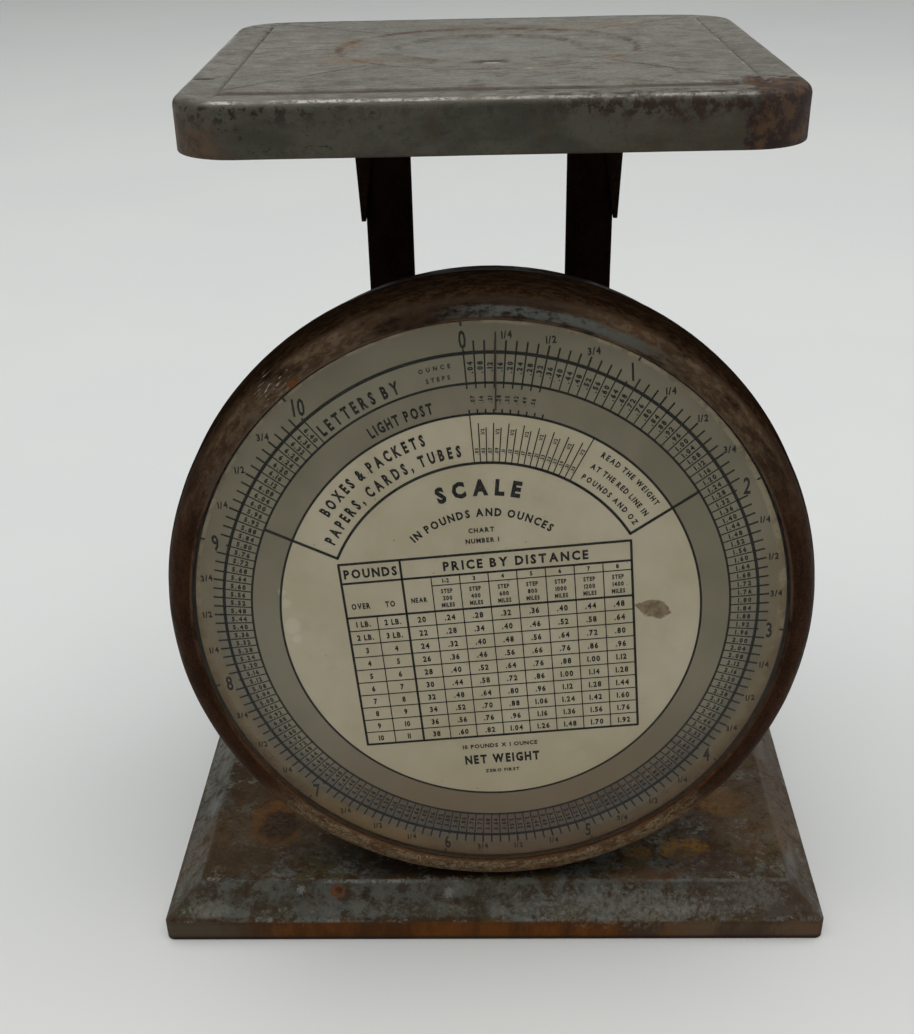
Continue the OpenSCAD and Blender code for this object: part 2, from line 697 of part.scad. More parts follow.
base_plate();
housing_front();
housing_cover();
housing_cap();
mech_frame();
drum_shell();
drum_bezel();
dial_lens();
lens_retainer();
hairline_index();
dial_plate();
dial_hub();
dial_arbor();
pinion_gear();
front_bush();
rear_bush();
arbor_bridge();
platform_pan();
platform_bracket();
strap_left();
strap_right();
upper_yoke();
lower_yoke();
strap_rivets();
bracket_rivets();
rack_bar();
rack_pin();
rack_leaf_spring();
spring_left();
spring_right();
spring_hanger();
zero_screw();
zero_knob();
upper_check_link();
lower_check_link();
yoke_pins();
upper_frame_pin();
lower_frame_pin();
pin_collars();
stop_bumper();
base_screws();
frame_screws();
drum_screws();
bridge_screws();
cap_screws();
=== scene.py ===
import bpy, bmesh, math
import numpy as np
from mathutils import Matrix, Vector, noise as mnoise


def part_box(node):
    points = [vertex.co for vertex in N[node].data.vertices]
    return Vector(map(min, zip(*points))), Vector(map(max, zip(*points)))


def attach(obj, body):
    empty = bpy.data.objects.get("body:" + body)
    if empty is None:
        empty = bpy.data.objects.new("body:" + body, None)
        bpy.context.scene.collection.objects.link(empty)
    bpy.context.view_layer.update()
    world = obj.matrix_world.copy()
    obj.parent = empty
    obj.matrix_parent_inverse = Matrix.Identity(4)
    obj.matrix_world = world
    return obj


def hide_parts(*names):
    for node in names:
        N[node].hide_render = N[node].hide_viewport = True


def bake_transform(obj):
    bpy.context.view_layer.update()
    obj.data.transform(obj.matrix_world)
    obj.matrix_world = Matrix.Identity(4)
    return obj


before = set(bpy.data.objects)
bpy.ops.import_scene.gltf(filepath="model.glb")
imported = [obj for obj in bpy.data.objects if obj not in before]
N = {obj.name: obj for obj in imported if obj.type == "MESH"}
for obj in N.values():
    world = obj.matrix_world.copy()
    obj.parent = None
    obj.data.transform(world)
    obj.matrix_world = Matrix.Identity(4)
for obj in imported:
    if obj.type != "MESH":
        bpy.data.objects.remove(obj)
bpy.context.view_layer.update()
scene = bpy.context.scene
MM = 0.001
DZ, DS = 103.8, 0.9917      # height of the dial axis; the dial art is laid out at 1/DS of its size


# ------------------------------------------------------------------ node tree helper
class G:
    """Writes a shader tree. Every position is in millimetres in the row frame."""

    def __init__(self, name):
        self.m = bpy.data.materials.new(name)
        self.m.use_nodes = True
        self.t = self.m.node_tree
        self.t.nodes.clear()
        self.out = self.t.nodes.new("ShaderNodeOutputMaterial")
        tc = self.t.nodes.new("ShaderNodeTexCoord")
        self.P = self.vm("SCALE", tc.outputs["Object"], scale=1000.0)
        sp = self.t.nodes.new("ShaderNodeSeparateXYZ")
        self.t.links.new(self.P, sp.inputs[0])
        self.x, self.y, self.z = sp.outputs

    def put(self, sock, v):
        if v is None:
            return
        if isinstance(v, bpy.types.NodeSocket):
            self.t.links.new(v, sock)
        elif isinstance(v, (tuple, list)):
            if sock.type == "RGBA" and len(v) == 3:
                v = (*v, 1.0)
            sock.default_value = v
        else:
            sock.default_value = v

    def node(self, kind, **kw):
        n = self.t.nodes.new(kind)
        for k, v in kw.items():
            setattr(n, k, v)
        return n

    def vm(self, op, a, b=None, scale=None):
        n = self.node("ShaderNodeVectorMath", operation=op)
        self.put(n.inputs[0], a)
        self.put(n.inputs[1], b)
        if scale is not None:
            self.put(n.inputs["Scale"], scale)
        return n.outputs["Value"] if op in ("LENGTH", "DISTANCE", "DOT_PRODUCT") else n.outputs["Vector"]

    def ma(self, op, a, b=None, c=None, clamp=False):
        n = self.node("ShaderNodeMath", operation=op, use_clamp=clamp)
        for s, v in zip(n.inputs, (a, b, c)):
            self.put(s, v)
        return n.outputs[0]

    def add(self, a, b): return self.ma("ADD", a, b)
    def sub(self, a, b): return self.ma("SUBTRACT", a, b)
    def mul(self, a, b): return self.ma("MULTIPLY", a, b)
    def mx(self, a, b): return self.ma("MAXIMUM", a, b)
    def mn(self, a, b): return self.ma("MINIMUM", a, b)
    def inv(self, a): return self.ma("SUBTRACT", 1.0, a, clamp=True)
    def ab(self, a): return self.ma("ABSOLUTE", a)

    def mr(self, x, a, b, c=0.0, d=1.0, smooth=True):
        n = self.node("ShaderNodeMapRange", clamp=True, interpolation_type="SMOOTHSTEP" if smooth else "LINEAR")
        for k, v in (("Value", x), ("From Min", a), ("From Max", b), ("To Min", c), ("To Max", d)):
            self.put(n.inputs[k], v)
        return n.outputs["Result"]

    def vec(self, x, y, z):
        n = self.node("ShaderNodeCombineXYZ")
        for s, v in zip(n.inputs, (x, y, z)):
            self.put(s, v)
        return n.outputs[0]

    def noise(self, scale, detail=4.0, rough=0.55, dist=0.0, seed=0, v=None, stretch=None):
        v = self.P if v is None else v
        if stretch:
            v = self.vm("MULTIPLY", v, stretch)
        if seed:
            v = self.vm("ADD", v, (seed * 37.7, seed * -21.3, seed * 11.9))
        n = self.node("ShaderNodeTexNoise", noise_dimensions="3D")
        self.put(n.inputs["Vector"], v)
        for k, val in (("Scale", scale), ("Detail", detail), ("Roughness", rough), ("Distortion", dist)):
            self.put(n.inputs[k], val)
        return n.outputs["Fac"]

    def vor(self, scale, seed=0, v=None, feature="F1", rnd=1.0):
        v = self.P if v is None else v
        if seed:
            v = self.vm("ADD", v, (seed * 17.1, seed * 9.3, seed * -13.7))
        n = self.node("ShaderNodeTexVoronoi", feature=feature)
        self.put(n.inputs["Vector"], v)
        self.put(n.inputs["Scale"], scale)
        self.put(n.inputs["Randomness"], rnd)
        return n.outputs["Distance"]

    def mix(self, f, a, b, mode="MIX"):
        n = self.node("ShaderNodeMix", data_type="RGBA", blend_type=mode, clamp_factor=True)
        self.put(n.inputs["Factor"], f)
        self.put([s for s in n.inputs if s.name == "A" and s.type == "RGBA"][0], a)
        self.put([s for s in n.inputs if s.name == "B" and s.type == "RGBA"][0], b)
        return [s for s in n.outputs if s.type == "RGBA"][0]

    def mf(self, f, a, b):
        n = self.node("ShaderNodeMix", data_type="FLOAT", clamp_factor=True)
        self.put(n.inputs["Factor"], f)
        self.put([s for s in n.inputs if s.name == "A" and s.type == "VALUE"][0], a)
        self.put([s for s in n.inputs if s.name == "B" and s.type == "VALUE"][0], b)
        return [s for s in n.outputs if s.type == "VALUE"][0]

    def spot(self, c, r, soft=0.5, wob=0.0, ws=0.15, seed=3, squash=(1, 1, 1)):
        """1 inside a ragged blob of radius r about c (mm), 0 outside"""
        d = self.vm("MULTIPLY", self.vm("SUBTRACT", self.P, c), squash)
        L = self.vm("LENGTH", d)
        if wob:
            L = self.add(L, self.mul(self.sub(self.noise(ws, 4, 0.65, seed=seed), 0.5), wob * r))
        return self.mr(L, r * (1 - soft), r * (1 + soft), 1.0, 0.0)

    def ao(self, dist_mm, inside=False):
        n = self.node("ShaderNodeAmbientOcclusion", inside=inside, samples=4)
        n.inputs["Distance"].default_value = dist_mm * MM
        return n.outputs["AO"]

    def bump(self, h, dist_mm, strength=1.0, normal=None):
        n = self.node("ShaderNodeBump")
        self.put(n.inputs["Strength"], strength)
        self.put(n.inputs["Distance"], dist_mm * MM)
        self.put(n.inputs["Height"], h)
        self.put(n.inputs["Normal"], normal)
        return n.outputs[0]

    def bsdf(self, col, rough, metal=0.0, spec=0.5, normal=None, coat=0.0, coat_rough=0.1):
        n = self.node("ShaderNodeBsdfPrincipled")
        for k, v in (("Base Color", col), ("Roughness", rough), ("Metallic", metal),
                     ("Specular IOR Level", spec), ("Normal", normal), ("Coat Weight", coat), ("Coat Roughness", coat_rough)):
            self.put(n.inputs[k], v)
        self.t.links.new(n.outputs[0], self.out.inputs["Surface"])
        return n


def setmat(obj, mat):
    obj.data.materials.clear()
    obj.data.materials.append(mat)
    for p in obj.data.polygons:
        p.material_index = 0


# rust palette, linear reflectance
R_DARK = (0.018, 0.009, 0.006)
R_BROWN = (0.075, 0.034, 0.018)
R_MID = (0.15, 0.07, 0.032)
R_ORANGE = (0.33, 0.125, 0.025)
R_OCHRE = (0.40, 0.23, 0.07)


def rust_color(g, seed, v=None):
    """mottled brown rust with darker scale and orange bloom"""
    a = g.noise(0.35, 6, 0.7, seed=seed, v=v)
    b = g.noise(1.3, 5, 0.7, seed=seed + 1, v=v)
    c = g.mix(g.mr(a, 0.38, 0.62), R_BROWN, R_MID)
    c = g.mix(g.mr(b, 0.50, 0.66), c, R_DARK)
    return c, a, b


# ------------------------------------------------------------------ materials
def mat_platform():
    g = G("platform_enamel")
    big = g.noise(0.022, 5, 0.6, seed=1)
    mid = g.noise(0.09, 6, 0.65, seed=2)
    fine = g.noise(0.8, 5, 0.7, seed=3)
    grain = g.noise(2.6, 3, 0.7, seed=4)
    cyw, syw = math.cos(0.021), math.sin(0.021)
    px = g.add(g.mul(g.x, cyw), g.mul(g.add(g.y, 0.8), syw))
    py = g.sub(g.mul(g.add(g.y, 0.8), cyw), g.mul(g.x, syw))
    zt = g.add(g.z, g.mul(g.y, 0.008))
    top = g.mr(zt, 229.3, 230.4)
    # grey-green enamel, blotched
    col = g.mix(g.mr(big, 0.38, 0.62), (0.122, 0.114, 0.092), (0.160, 0.152, 0.126))
    col = g.mix(g.mr(mid, 0.46, 0.68, 0, 0.60), col, (0.108, 0.089, 0.062))
    col = g.mix(g.mr(fine, 0.48, 0.66, 0, 0.38), col, (0.200, 0.194, 0.168))
    # long faint brown wash streaks running front to back
    st = g.noise(0.06, 5, 0.65, dist=1.2, seed=5, stretch=(1.6, 0.55, 1.0))
    col = g.mix(g.mul(g.mr(st, 0.55, 0.72), g.mul(top, 0.42)), col, (0.135, 0.088, 0.046))
    # crisp wear: darker flecks, paler rubs, hairline scratches running across
    n4 = g.noise(0.15, 6, 0.74, seed=44)
    col = g.mix(g.mul(g.mr(n4, 0.53, 0.60), 0.68), col, (0.072, 0.058, 0.038))
    col = g.mix(g.mul(g.mr(n4, 0.455, 0.39), 0.55), col, (0.225, 0.218, 0.190))
    n5 = g.noise(1.1, 4, 0.7, seed=45, stretch=(0.10, 1.3, 1.0))
    col = g.mix(g.mul(g.mr(n5, 0.555, 0.61), g.mul(top, 0.66)), col, (0.060, 0.045, 0.030))
    col = g.mix(g.mul(g.mr(n5, 0.435, 0.385), g.mul(top, 0.5)), col, (0.250, 0.243, 0.212))
    # pressed rings hold rust
    r = g.vm("LENGTH", g.vec(px, py, 0.0))
    rw = g.add(r, g.mul(g.sub(g.noise(0.25, 4, 0.7, seed=6), 0.5), 3.0))
    ring = g.mul(g.mr(g.ab(g.sub(rw, 40.6)), 0.3, 1.7, 1, 0), g.mr(g.noise(0.10, 5, 0.75, seed=7), 0.44, 0.56, 0.12, 1.0))
    ring2 = g.mul(g.mr(g.ab(g.sub(rw, 25.2)), 0.3, 1.3, 1, 0), g.mr(g.noise(0.13, 4, 0.7, seed=8), 0.46, 0.62, 0.1, 0.6))
    ringm = g.mul(g.mx(ring, ring2), top)
    rc, ra, rb = rust_color(g, 9)
    col = g.mix(g.mul(ringm, 0.85), col, g.mix(g.mr(ra, 0.45, 0.7), (0.060, 0.034, 0.022), (0.130, 0.072, 0.038)))
    # inner disc a touch lighter and smoother
    disc = g.mul(g.mr(r, 22.5, 24.5, 1, 0), top)
    col = g.mix(g.mul(disc, 0.35), col, (0.185, 0.182, 0.163))
    # placed stains
    brk = g.mr(g.noise(0.55, 5, 0.78, seed=46), 0.40, 0.58, 0.25, 1.0)
    def stain(c, rad, color, amt, sq=(1, 1, 1), seed=11, wob=2.0, soft=0.5, ws=0.22):
        nonlocal col
        m = g.mul(g.spot(c, rad, soft, wob, ws, seed, sq), amt)
        col = g.mix(g.mul(m, brk) if rad > 3 else m, col, color)
    stain((-36, -21, 231), 5.2, (0.190, 0.118, 0.052), 0.72, (0.55, 1.2, 0), 12)
    stain((-26, -24, 231), 5, (0.135, 0.082, 0.045), 0.7, (0.5, 1.4, 0), 13)
    stain((-38.5, 8, 231), 5, (0.14, 0.075, 0.035), 0.85, (1.6, 0.5, 0), 14)
    stain((37, 41, 231), 4.4, (0.190, 0.092, 0.032), 0.85, (0.6, 1.0, 0), 15)
    stain((23, 40, 231), 3.4, (0.200, 0.120, 0.042), 0.8, (0.6, 1.0, 0), 47)
    stain((10, 42, 231), 5, (0.075, 0.045, 0.026), 0.75, (0.5, 1.4, 0), 16)
    stain((12, -34, 231), 5, (0.110, 0.072, 0.044), 0.5, (0.4, 1.5, 0), 17)
    stain((-13, 44, 231), 6, (0.12, 0.07, 0.04), 0.7, (0.4, 1.4, 0), 18)
    stain((33, -24, 231), 4.5, (0.15, 0.085, 0.04), 0.7, (1.5, 0.5, 0), 19)
    stain((10.5, -41.5, 231), 1.0, (0.62, 0.40, 0.10), 0.95, (1, 1, 0), 20, 0.5, 0.3, 0.9)
    stain((0.6, -28.5, 231), 2.6, (0.05, 0.04, 0.035), 0.85, (0.5, 1.4, 0), 21, 1.0, 0.4, 0.7)
    stain((1.2, -29.6, 231), 1.2, (0.40, 0.39, 0.35), 0.9, (0.5, 1.5, 0), 22, 1.0, 0.35, 0.9)
    stain((-71, -43, 231), 1.9, (0.012, 0.007, 0.006), 1.0, (0.6, 1.2, 0), 23, 0.8, 0.25, 0.8)
    # little dark pits and flecks, everywhere
    pit = g.mul(g.mr(g.vor(0.42, seed=2), 0.0, 0.16, 1, 0), g.mr(g.noise(0.16, 3, 0.6, seed=24), 0.52, 0.62))
    col = g.mix(g.mul(pit, 0.8), col, (0.045, 0.030, 0.020))
    # panel outline: brown line, with a painted highlight beside it on the right side
    d = g.mx(g.ab(px), g.ab(py))
    ln = g.mul(g.mr(g.ab(g.sub(d, 65.1)), 0.25, 1.05, 1, 0), g.mul(top, g.mr(g.noise(0.07, 4, 0.65, seed=25), 0.30, 0.52, 0.35, 1.0)))
    col = g.mix(g.mul(ln, 0.9), col, (0.045, 0.026, 0.016))
    # painted highlight: pale line just inside the outline, on the right side only
    panel_edge_highlight = g.mul(g.mr(g.ab(g.sub(d, 63.8)), 0.1, 0.8, 1, 0), g.mul(top, g.mr(g.noise(0.12, 5, 0.7, seed=26), 0.50, 0.62)))
    panel_edge_highlight = g.mul(panel_edge_highlight, g.mr(g.x, 30, 60, 0.25, 1.0))
    col = g.mix(g.mul(panel_edge_highlight, 0.7), col, (0.32, 0.31, 0.28))
    # diagonal creases: painted shade, dark lines along them
    dg = g.ab(g.sub(g.ab(px), g.ab(py)))
    cr = g.mul(g.mul(g.mr(dg, 0.3, 1.1, 1, 0), g.mul(g.mr(r, 41, 46), g.mr(d, 65, 62))), g.mul(top, g.mr(g.noise(0.06, 3, 0.6, seed=27), 0.34, 0.48, 0.4, 1.0)))
    col = g.mix(g.mul(cr, 0.85), col, (0.048, 0.032, 0.022))
    # skirt: darker, olive, brown washes
    skirt = g.inv(top)
    sk = g.noise(0.05, 6, 0.65, seed=28, stretch=(1, 1, 1.8))
    skc = g.mix(g.mr(sk, 0.38, 0.6), (0.050, 0.048, 0.035), (0.080, 0.077, 0.058))
    skc = g.mix(g.mr(fine, 0.52, 0.68, 0, 0.5), skc, (0.044, 0.034, 0.020))
    skc = g.mix(g.mul(g.mr(g.noise(0.11, 5, 0.7, seed=29), 0.56, 0.7), 0.5), skc, (0.066, 0.042, 0.018))
    col = g.mix(skirt, col, skc)
    # black enamel chips under the front edge, then rust at the two front corners
    nz = g.noise(0.33, 5, 0.72, seed=30)
    band = g.mul(g.mr(g.z, 223.5, 229.8), g.mr(g.z, 230.5, 229.6))
    chips = g.mul(band, g.mr(nz, 0.50, 0.57))
    chips = g.mul(chips, g.mr(g.x, -20, -58, 0.30, 1.0))
    pocks = g.mul(g.mr(g.noise(0.5, 5, 0.75, seed=43, stretch=(0.6, 0.6, 1.3)), 0.60, 0.66), g.mr(g.x, 20, -50, 0.35, 1.0))
    chips = g.mx(chips, g.mul(g.mul(skirt, pocks), 0.75))
    col = g.mix(chips, col, (0.020, 0.014, 0.010))
    rustc = g.mix(g.mr(g.noise(0.22, 5, 0.7, seed=31), 0.44, 0.60), (0.026, 0.013, 0.011), (0.085, 0.046, 0.024))
    cor_r = g.spot((70.5, -70, 225.5), 11.0, 0.15, 1.8, 0.2, 32, (1, 0.75, 0.9))
    cor_l = g.spot((-71.5, -69, 218.5), 12, 0.45, 1.4, 0.13, 33, (1, 0.8, 1.3))
    cor_rb = g.spot((76.5, -41, 221.5), 16, 0.3, 1.6, 0.18, 34, (1.3, 0.45, 1.7))
    wash = g.mul(g.spot((46, -76, 221.5), 11, 0.5, 1.8, 0.16, 48, (0.7, 1, 1.2)), g.mr(nz, 0.36, 0.56))
    col = g.mix(g.mul(wash, 0.28), col, (0.085, 0.046, 0.016))
    col = g.mix(g.mul(cor_l, 0.75), col, g.mix(g.mr(nz, 0.4, 0.62), (0.12, 0.06, 0.028), (0.05, 0.03, 0.018)))
    col = g.mix(g.mul(cor_rb, 0.5), col, (0.050, 0.028, 0.017))
    col = g.mix(g.mul(cor_r, 0.95), col, rustc)
    bot = g.mul(g.mr(g.z, 220.2, 218.3), g.mr(g.noise(0.10, 4, 0.7, seed=35), 0.45, 0.62))
    col = g.mix(g.mul(bot, 0.75), col, (0.055, 0.032, 0.018))
    # brown chips on the top edge, right of middle
    ec = g.mx(g.spot((29, -74, 229.6), 8, 0.35, 1.6, 0.25, 36, (0.5, 1.6, 2.6)), g.spot((45, -74.5, 229.3), 9, 0.35, 1.6, 0.25, 37, (0.55, 1.6, 2.4)))
    ec = g.mx(ec, g.spot((12.4, -71.5, 230.5), 3.4, 0.4, 1.6, 0.3, 38, (0.6, 1.3, 1)))
    col = g.mix(g.mul(g.mul(ec, g.mr(nz, 0.45, 0.55)), 0.85), col, (0.030, 0.015, 0.008))
    # worn rim: bare metal dashes on the rolled edge, also painted bright as a highlight along the edge
    edge = g.mul(g.mr(zt, 229.8, 230.1), g.mr(zt, 230.55, 230.38))
    edgexy = g.mr(g.mx(g.ab(px), g.ab(py)), 73.6, 74.6)
    wear = g.mul(g.mul(edge, edgexy), g.mr(g.noise(0.22, 6, 0.75, seed=39, stretch=(0.4, 0.5, 2.0)), 0.43, 0.57))
    wear = g.mul(wear, g.mr(px, -30, 15, 1.0, 0.55))
    wear = g.mul(wear, g.mul(g.inv(g.mul(cor_r, 0.6)), g.mr(g.noise(0.9, 4, 0.75, seed=49), 0.38, 0.52)))
    col = g.mix(g.mul(wear, 0.85), col, (0.46, 0.45, 0.41))
    # painted glints: pale flecks on the rusty right front corner
    fl = g.mul(g.mr(g.vor(0.5, seed=5), 0.0, 0.13, 1, 0), g.mr(g.noise(0.2, 3, 0.6, seed=40), 0.56, 0.64))
    col = g.mix(g.mul(fl, g.mul(cor_r, 0.9)), col, (0.5, 0.48, 0.45))
    # underside mask, not used
    under = g.mr(g.z, 217.9, 218.15, 1, 0)
    rust_all = g.mx(g.mx(g.mul(ringm, 0.8), g.mul(cor_r, 0.9)), g.mx(g.mul(cor_l, 0.5), chips))
    rough = g.mf(rust_all, g.mr(fine, 0.35, 0.65, 0.30, 0.46), 0.72)
    rough = g.mf(wear, rough, 0.28)
    h = g.add(g.mul(fine, 0.35), g.mul(grain, 0.15))
    h = g.add(h, g.mul(rust_all, g.mul(nz, 0.9)))
    h = g.sub(h, g.mul(pit, 0.7))
    h = g.add(h, g.mul(mid, 1.4))
    h = g.add(h, g.mul(n4, 0.9))
    h = g.sub(h, g.mul(g.mr(n5, 0.56, 0.64), 0.25))
    h = g.sub(h, g.mul(cr, 1.3))
    h = g.sub(h, g.mul(chips, 0.7))
    g.bsdf(col, rough, metal=g.mul(wear, 0.35), spec=0.22, normal=g.bump(h, 0.14, 0.8))
    return g.m


def mat_base():
    g = G("base_enamel")
    big = g.noise(0.020, 5, 0.62, dist=0.4, seed=51)
    mid = g.noise(0.065, 7, 0.76, dist=0.3, seed=52)
    mot = g.noise(0.20, 7, 0.80, seed=53)
    fine = g.noise(0.9, 5, 0.7, seed=54)
    ax, ay = g.ab(g.x), g.ab(g.y)
    d = g.mx(ax, ay)
    flat = g.mr(d, 90.0, 90.8, 1, 0)
    bev = g.mul(g.mr(d, 90.4, 91.2), g.mr(d, 100.6, 99.8))
    lip = g.mr(g.z, 6.9, 6.2)
    blue = (0.098, 0.103, 0.092)
    olive = (0.070, 0.054, 0.024)
    brown = (0.045, 0.021, 0.007)
    hue = g.noise(0.045, 5, 0.65, dist=0.5, seed=85)
    col = g.mix(g.mr(mid, 0.45, 0.53), blue, olive)
    col = g.mix(g.mul(g.mr(mot, 0.50, 0.55), 0.85), col, brown)
    col = g.mix(g.mul(g.mr(big, 0.47, 0.60), 0.75), col, g.mix(g.mr(mot, 0.42, 0.58), (0.022, 0.010, 0.004), (0.048, 0.024, 0.008)))
    col = g.mix(g.mul(g.mr(hue, 0.55, 0.66), 0.5), col, (0.095, 0.050, 0.016))
    pale = g.mul(g.mr(g.noise(0.10, 7, 0.82, seed=55), 0.53, 0.59), g.mr(fine, 0.38, 0.54))
    col = g.mix(g.mul(pale, 0.75), col, (0.180, 0.186, 0.162))
    col = g.mix(g.mul(g.mr(g.noise(0.42, 6, 0.82, seed=86), 0.545, 0.60), 0.7), col, (0.024, 0.012, 0.006))
    # the bevels keep more of the paint in front, brown on the right end
    bc = g.mix(g.mr(mid, 0.44, 0.60), (0.076, 0.076, 0.064), (0.040, 0.032, 0.018))
    bc = g.mix(g.mul(g.mr(mot, 0.53, 0.585), 0.75), bc, (0.036, 0.019, 0.009))
    bc = g.mix(g.mul(g.mul(g.mr(hue, 0.50, 0.60), g.mr(mot, 0.52, 0.44)), 0.5), bc, (0.125, 0.122, 0.104))
    rt = g.mr(g.add(g.x, g.mul(g.sub(mid, 0.5), 60)), 46, 74)
    bc = g.mix(g.mul(rt, 0.62), bc, (0.046, 0.027, 0.015))
    col = g.mix(bev, col, bc)
    # bend lines: painted highlight along the crease, broken up with scuffs
    bend_scuff_highlight = g.mul(g.mr(g.ab(g.sub(d, 91.1)), 0.1, 0.9, 1, 0), g.mr(g.noise(0.045, 5, 0.7, seed=56), 0.46, 0.58))
    bend_scuff_highlight = g.mul(bend_scuff_highlight, g.mr(g.ab(g.add(g.x, 45)), 38, 12, 0.35, 1.0))
    col = g.mix(g.mul(g.mul(bend_scuff_highlight, g.mr(fine, 0.35, 0.55)), 0.75), col, (0.26, 0.27, 0.255))
    # pale band just above the lip bend: painted highlight, flecked like scuffs
    lb = g.mul(g.mr(g.ab(g.sub(d, 98.6)), 0.3, 2.3, 1, 0), g.mr(g.noise(0.075, 5, 0.72, seed=57), 0.44, 0.58))
    fleck = g.mr(g.noise(0.9, 5, 0.78, seed=87), 0.48, 0.62)
    col = g.mix(g.mul(lb, g.add(0.08, g.mul(fleck, 0.55))), col, (0.200, 0.190, 0.150))
    # painted highlight: pale streaks along the side bevels
    side_bevel_highlight = g.mul(g.mr(g.ab(g.sub(ax, 94.0)), 0.3, 3.2, 1, 0), g.mr(g.noise(0.045, 5, 0.75, seed=58, stretch=(1.6, 0.5, 1)), 0.46, 0.62))
    side_bevel_highlight = g.mul(side_bevel_highlight, g.mr(fine, 0.30, 0.6, 0.3, 1.0))
    col = g.mix(g.mul(side_bevel_highlight, 0.62), col, (0.180, 0.185, 0.168))
    # rust on the lip: orange in the middle, dark brown to the right end, with painted shade along the bottom edge
    ln = g.noise(0.06, 5, 0.7, seed=59, stretch=(1, 1, 0.4))
    lc = g.mix(g.mr(ln, 0.38, 0.60), (0.150, 0.050, 0.008), (0.070, 0.026, 0.006))
    lcr = g.mix(g.mr(ln, 0.42, 0.6), (0.118, 0.072, 0.040), (0.066, 0.042, 0.026))
    lc = g.mix(g.mr(g.add(g.x, g.mul(g.sub(ln, 0.5), 50)), 35, 60), lc, lcr)
    lc = g.mix(g.mr(g.add(g.x, g.mul(g.sub(ln, 0.5), 40)), -62, -86), lc, (0.082, 0.064, 0.042))
    lc = g.mix(g.mr(g.y, -85, -99.5, 0.75, 0.0), lc, (0.052, 0.036, 0.023))
    # painted shade: the lowest edge of the lip darkened where it meets the floor
    lip_floor_shade = g.mr(g.z, 1.7, 0.5)
    col = g.mix(lip, col, lc)
    col = g.mix(g.mul(g.mul(lip, g.mr(g.z, 4.9, 6.4)), g.mr(ln, 0.5, 0.6, 0.35, 0.9)), col, (0.055, 0.03, 0.016))
    col = g.mix(g.mul(lip_floor_shade, 0.8), col, (0.018, 0.011, 0.008))
    # placed marks: rust, some pale spots, and one pale band that is partly painted highlight
    mbrk = g.mr(g.noise(0.60, 6, 0.80, seed=88), 0.42, 0.55, 0.15, 1.0)
    def mark(c, rad, color, amt, sq=(1, 1, 0), seed=60, wob=1.1, soft=0.5, ws=0.13):
        nonlocal col
        m = g.mul(g.spot(c, rad, soft * 0.6, wob * 1.5, ws * 1.5, seed, sq), amt)
        col = g.mix(g.mul(m, mbrk) if 3 < rad and amt < 0.94 else m, col, color)
    mark((-73, -59, 15), 16, (0.085, 0.046, 0.015), 0.6, (1, 0.62, 0), 61, 0.9, 0.6, 0.07)
    mark((-71.5, -60.5, 15), 9.0, (0.150, 0.060, 0.011), 0.95, (1.1, 0.7, 0), 62, 0.9, 0.4)
    mark((-70.0, -61.5, 15), 6.2, (0.022, 0.008, 0.004), 0.97, (1, 0.72, 0), 63, 1.0, 0.4, 0.2)
    mark((-84, -70, 15), 16, (0.080, 0.048, 0.022), 0.7, (0.6, 1, 0), 64, 1.4, 0.5, 0.1)
    mark((-74, -79, 15), 9, (0.045, 0.028, 0.014), 0.8, (0.6, 1.2, 0), 65, 1.6, 0.4, 0.2)
    mark((60.5, -75, 15), 6.0, (0.22, 0.105, 0.016), 0.9, (0.8, 1.1, 0), 66, 1.3, 0.4, 0.25)
    mark((46, -77, 15), 3.4, (0.19, 0.095, 0.018), 0.85, (0.8, 1, 0), 67, 1.2, 0.4, 0.3)
    mark((75, -49, 15), 5.5, (0.26, 0.12, 0.018), 0.9, (0.8, 0.7, 0), 68, 1.2, 0.4, 0.25)
    mark((85, -60, 15), 13, (0.145, 0.088, 0.034), 0.65, (1, 0.7, 0), 69, 1.2, 0.5, 0.1)
    mark((84, -30, 15), 22, (0.075, 0.045, 0.026), 0.7, (1, 0.5, 0), 70, 1.2, 0.5, 0.08)
    mark((66, -82, 15), 8, (0.055, 0.030, 0.018), 0.8, (0.6, 1.2, 0), 71, 1.5, 0.4, 0.15)
    mark((47.5, -88, 15), 6, (0.10, 0.045, 0.020), 0.8, (0.5, 1.6, 0), 72, 1.3, 0.4, 0.2)
    mark((-48, -93.5, 12.5), 2.3, (0.115, 0.040, 0.011), 0.9, (1, 1, 1), 73, 1.3, 0.5, 0.5)
    mark((-47.7, -93.3, 12.6), 1.1, (0.035, 0.013, 0.006), 0.85, (1, 1, 1), 74, 1.2, 0.5, 0.7)
    mark((-39.2, -94.0, 12.2), 1.9, (0.022, 0.014, 0.010), 0.85, (1.6, 0.9, 1), 75, 2.0, 0.5, 0.7)
    mark((-27.8, -92.9, 13.0), 1.6, (0.030, 0.016, 0.010), 0.8, (0.8, 1, 1), 76, 1.8, 0.5, 0.7)
    mark((-59.5, -93.0, 12.8), 1.3, (0.20, 0.205, 0.19), 0.6, (1, 1, 1), 77, 2.0, 0.5, 0.8)
    mark((-13.6, -94.0, 12.2), 1.5, (0.19, 0.195, 0.18), 0.6, (1, 1, 1), 78, 2.0, 0.5, 0.8)
    # pale band low on the front bevel: scuffed paint and painted highlight
    mark((40, -97.3, 9.2), 8.5, (0.22, 0.21, 0.175), 0.40, (0.33, 1.6, 1.6), 79, 2.2, 0.5, 0.35)
    mark((80, -94.5, 11.5), 5, (0.17, 0.165, 0.14), 0.38, (0.5, 1.2, 1.2), 80, 2.0, 0.5, 0.4)
    mark((-88, -97.5, 8.5), 3.0, (0.22, 0.20, 0.16), 0.22, (0.6, 1, 1), 81, 1.8, 0.5, 0.4)
